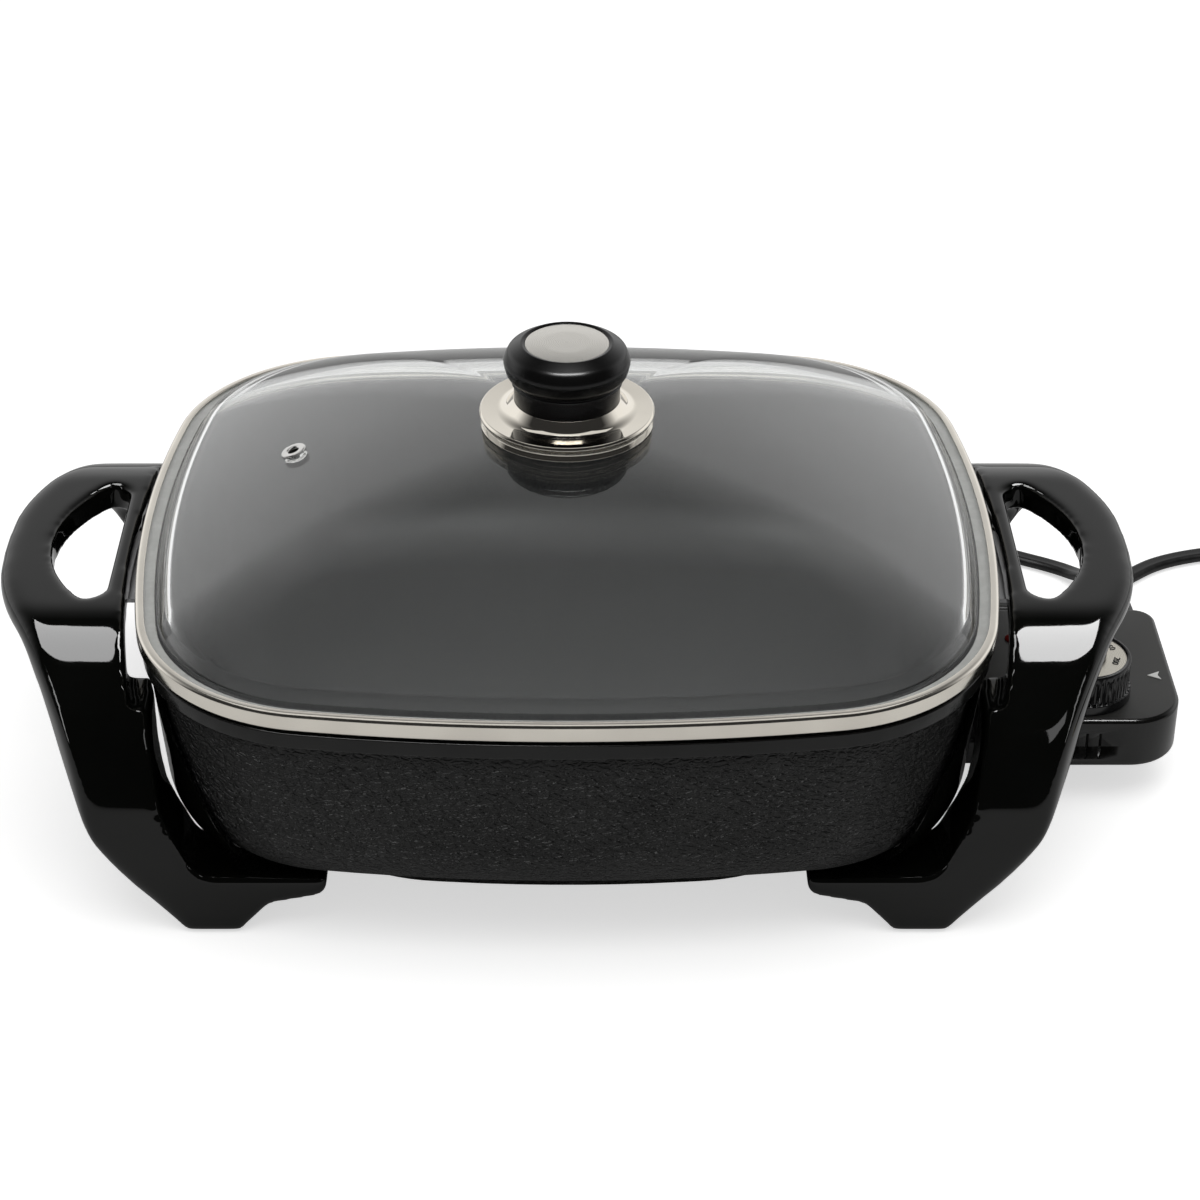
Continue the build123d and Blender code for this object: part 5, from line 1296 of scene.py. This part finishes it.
@dataclass
class Knob:
    """Turned knob: polished steel cover, black knob and silver insert. Sizes in millimetres."""

    workshop: Workshop
    base_bottom: float = 182.62
    base_height: float = 6.8
    base_radius: float = 38.9
    neck_radius: float = 23.3
    flare: float = 5.0
    boss_radius: float = 17.0
    boss_bottom: float = 184.72
    neck_height: float = 9.5
    head_radius: float = 28.1
    head_height: float = 17.4
    insert_radius: float = 18.4
    insert_thickness: float = 1.2

    def cover(self) -> None:
        """Polished cover: a waisted skirt, a flat deck that mirrors the knob, and a flare up to the neck."""
        deck, neck = self.base_bottom + self.base_height, self.base_bottom + self.base_height + self.flare
        radius, waist = self.base_radius, self.base_radius - 2.0
        points = [
            (radius - 0.6, self.base_bottom),
            (waist, self.base_bottom + self.base_height / 2),
            (radius, deck - 1.2),
            (radius - 1.0, deck + 0.1),
            (self.neck_radius + 4.8, deck - 0.5),
            (self.neck_radius + 0.2, neck),
            (self.neck_radius - 1.2, neck),
            (self.neck_radius + 3.6, deck - 1.9),
            (waist - 1.4, deck - 1.9),
            (waist - 1.2, self.base_bottom + self.base_height / 2),
            (radius - 1.8, self.base_bottom),
        ]
        profile = rounded(points, [0.3, 2.0, 0.8, 0.6, 6.0, 0.2, 0.3, 4.0, 0.5, 1.0, 0.3], 8)
        cover = spun("knob_cover_polished", profile, True, 128)
        self.workshop.file(cover, "knob_base", 50.0, Finish.KNOB_BASE)

    def grip(self) -> None:
        """Black knob: a straight neck with a fine bead under a pillowed head."""
        neck = self.base_bottom + self.base_height + self.flare
        head = neck + self.neck_height
        top = head + self.head_height
        seat = top - self.insert_thickness
        radius = self.head_radius
        points = [
            (1.0, self.boss_bottom),
            (self.boss_radius, self.boss_bottom),
            (self.boss_radius, neck),
            (self.neck_radius, neck),
            (self.neck_radius, head - 1.8),
            (self.neck_radius + 1.0, head - 1.4),
            (self.neck_radius + 1.0, head - 0.2),
            (self.neck_radius + 0.4, head + 0.4),
            (radius - 1.6, head + 3.2),
            (radius, head + self.head_height * 0.52),
            (radius - 2.4, top - 3.2),
            (self.insert_radius + 1.6, top),
            (self.insert_radius + 0.06, top - 0.5),
            (self.insert_radius + 0.06, seat),
            (1.0, seat),
        ]
        radii = [0.0, 0.5, 0.3, 0.5, 0.5, 0.4, 0.4, 0.4, 3.5, 5.5, 4.5, 1.0, 0.2, 0.0, 0.0]
        knob = spun("lid_knob_turned", rounded(points, radii, 7, False), False, 128)
        self.workshop.file(knob, "lid_knob", 42.0, Finish.KNOB)

    def insert(self) -> None:
        """Silver disc in the knob's top, gently crowned."""
        seat = self.base_bottom + self.base_height + self.flare + self.neck_height + self.head_height
        seat -= self.insert_thickness
        radius = self.insert_radius
        points = [(0.2, seat), (radius, seat), (radius, seat + 0.7), (radius * 0.55, seat + 1.12),
                  (0.2, seat + 1.2)]
        disc = spun("knob_insert_crowned", rounded(points, [0.0, 0.2, 0.4, 30.0, 0.0], 7, False), False, 96)
        self.workshop.file(disc, "knob_insert", 30.0, Finish.INSERT)

    def build(self) -> None:
        """Model and dress the knob."""
        self.cover()
        self.grip()
        self.insert()
        for node, finish in (("knob_gasket", Finish.SEAL), ("knob_screw", Finish.SCREW),
                             ("knob_washer", Finish.SCREW)):
            self.workshop.finished_copy(node, finish, 35.0)


@dataclass
class Lid:
    """Glass lid with its steel rim, seal, steam vent and knob."""

    workshop: Workshop

    def build(self) -> None:
        """Build the lid."""
        glass = LidGlass(self.workshop)
        glass.build()
        LidRim(self.workshop).build()
        self.workshop.finished_copy("lid_seal", Finish.SEAL, 40.0)
        SteamVent(self.workshop, glass).build()
        Knob(self.workshop).build()


# ----heat control


@dataclass
class HeatControl:
    """Pull-out control with its probe, thermostat, dial and numbers."""

    workshop: Workshop
    dial_centre: Point = (0.2378, -0.006, 0.0)
    numbers: tuple[str, ...] = ("200", "250", "300", "350", "400")
    number_size: float = 0.0042
    number_radius: float = 0.0145
    number_height: float = 0.00008
    number_gap: float = 0.0001
    first_degrees: float = -20.0
    step_degrees: float = 50.0
    top_band: float = 0.0003

    def print_numbers(self) -> None:
        """Put plain temperature numbers round the dial's silver ring."""
        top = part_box("dial_ring")[1][2]
        for index, word in enumerate(self.numbers):
            angle = math.radians(self.first_degrees + self.step_degrees * index)
            deselect_all()
            bpy.ops.object.text_add()
            text = bpy.context.object
            text.name = f"dial_number_{word}"
            text.data.body = word
            text.data.size = self.number_size
            text.data.align_x = "CENTER"
            text.data.align_y = "CENTER"
            text.data.extrude = self.number_height
            take(text)
            bpy.ops.object.convert(target="MESH")
            text = bpy.context.object
            text.rotation_euler = (0.0, 0.0, angle - math.pi / 2)
            text.location = (
                self.dial_centre[0] + self.number_radius * math.cos(angle),
                self.dial_centre[1] + self.number_radius * math.sin(angle),
                top + self.number_gap,
            )
            take(text)
            bpy.ops.object.transform_apply(location=True, rotation=True, scale=True)
            dress(text, Finish.PRINT)
            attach(text, "dial")

    def top_housing(self) -> None:
        """Dress the upper housing: a finely grained top inside glossy sides."""
        piece = self.workshop.copy("control_top_housing", "control_top_dressed")
        dress(piece, Finish.CASE_EDGE, Finish.HOUSING)
        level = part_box("control_top_housing")[1][2] - self.top_band
        for polygon in piece.data.polygons:
            polygon.material_index = int(polygon.normal.z > 0.95 and polygon.center.z > level)
        self.workshop.file(piece, "control_top_housing", 32.0)

    def build(self) -> None:
        """Dress the control."""
        self.top_housing()
        for node, finish, degrees, bevel in (
            ("control_bottom_housing", Finish.CASE_EDGE, 32.0, 0.0),
            ("housing_screws", Finish.SCREW, 30.0, 0.0),
            ("socket_block", Finish.BLOCK, 30.0, 0.0003),
            ("contact_sockets", Finish.CONTACT, 30.0, 0.0),
            ("temperature_probe", Finish.PROBE, 35.0, 0.0),
            ("probe_collar", Finish.PROBE, 35.0, 0.0003),
            ("thermostat_frame", Finish.SHEET, 30.0, 0.0),
            ("bimetal_blade", Finish.CONTACT, 30.0, 0.0),
            ("contact_screws", Finish.SCREW, 30.0, 0.0),
            ("indicator_lamp", Finish.LAMP, 35.0, 0.0),
            ("indicator_lens", Finish.LENS, 35.0, 0.0),
            ("pointer_mark", Finish.MARK, 30.0, 0.0),
            ("temperature_dial", Finish.DIAL, 35.0, 0.0),
            ("dial_ring", Finish.RING, 35.0, 0.0),
            ("dial_cap", Finish.CAP, 40.0, 0.0),
            ("dial_shaft", Finish.PROBE, 35.0, 0.0),
        ):
            self.workshop.finished_copy(node, finish, degrees, bevel)
        self.print_numbers()


def main() -> None:
    """Build everything in order."""
    logging.basicConfig(level=logging.INFO, format="%(name)s: %(message)s")
    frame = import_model()
    workshop = Workshop(frame)
    studio = Studio()
    studio.build()
    MainsLead(workshop).build()
    Pan(workshop).build()
    Handles(workshop).build()
    Lid(workshop).build()
    HeatControl(workshop).build()
    studio.show_gloss()


if __name__ == "__main__":
    main()
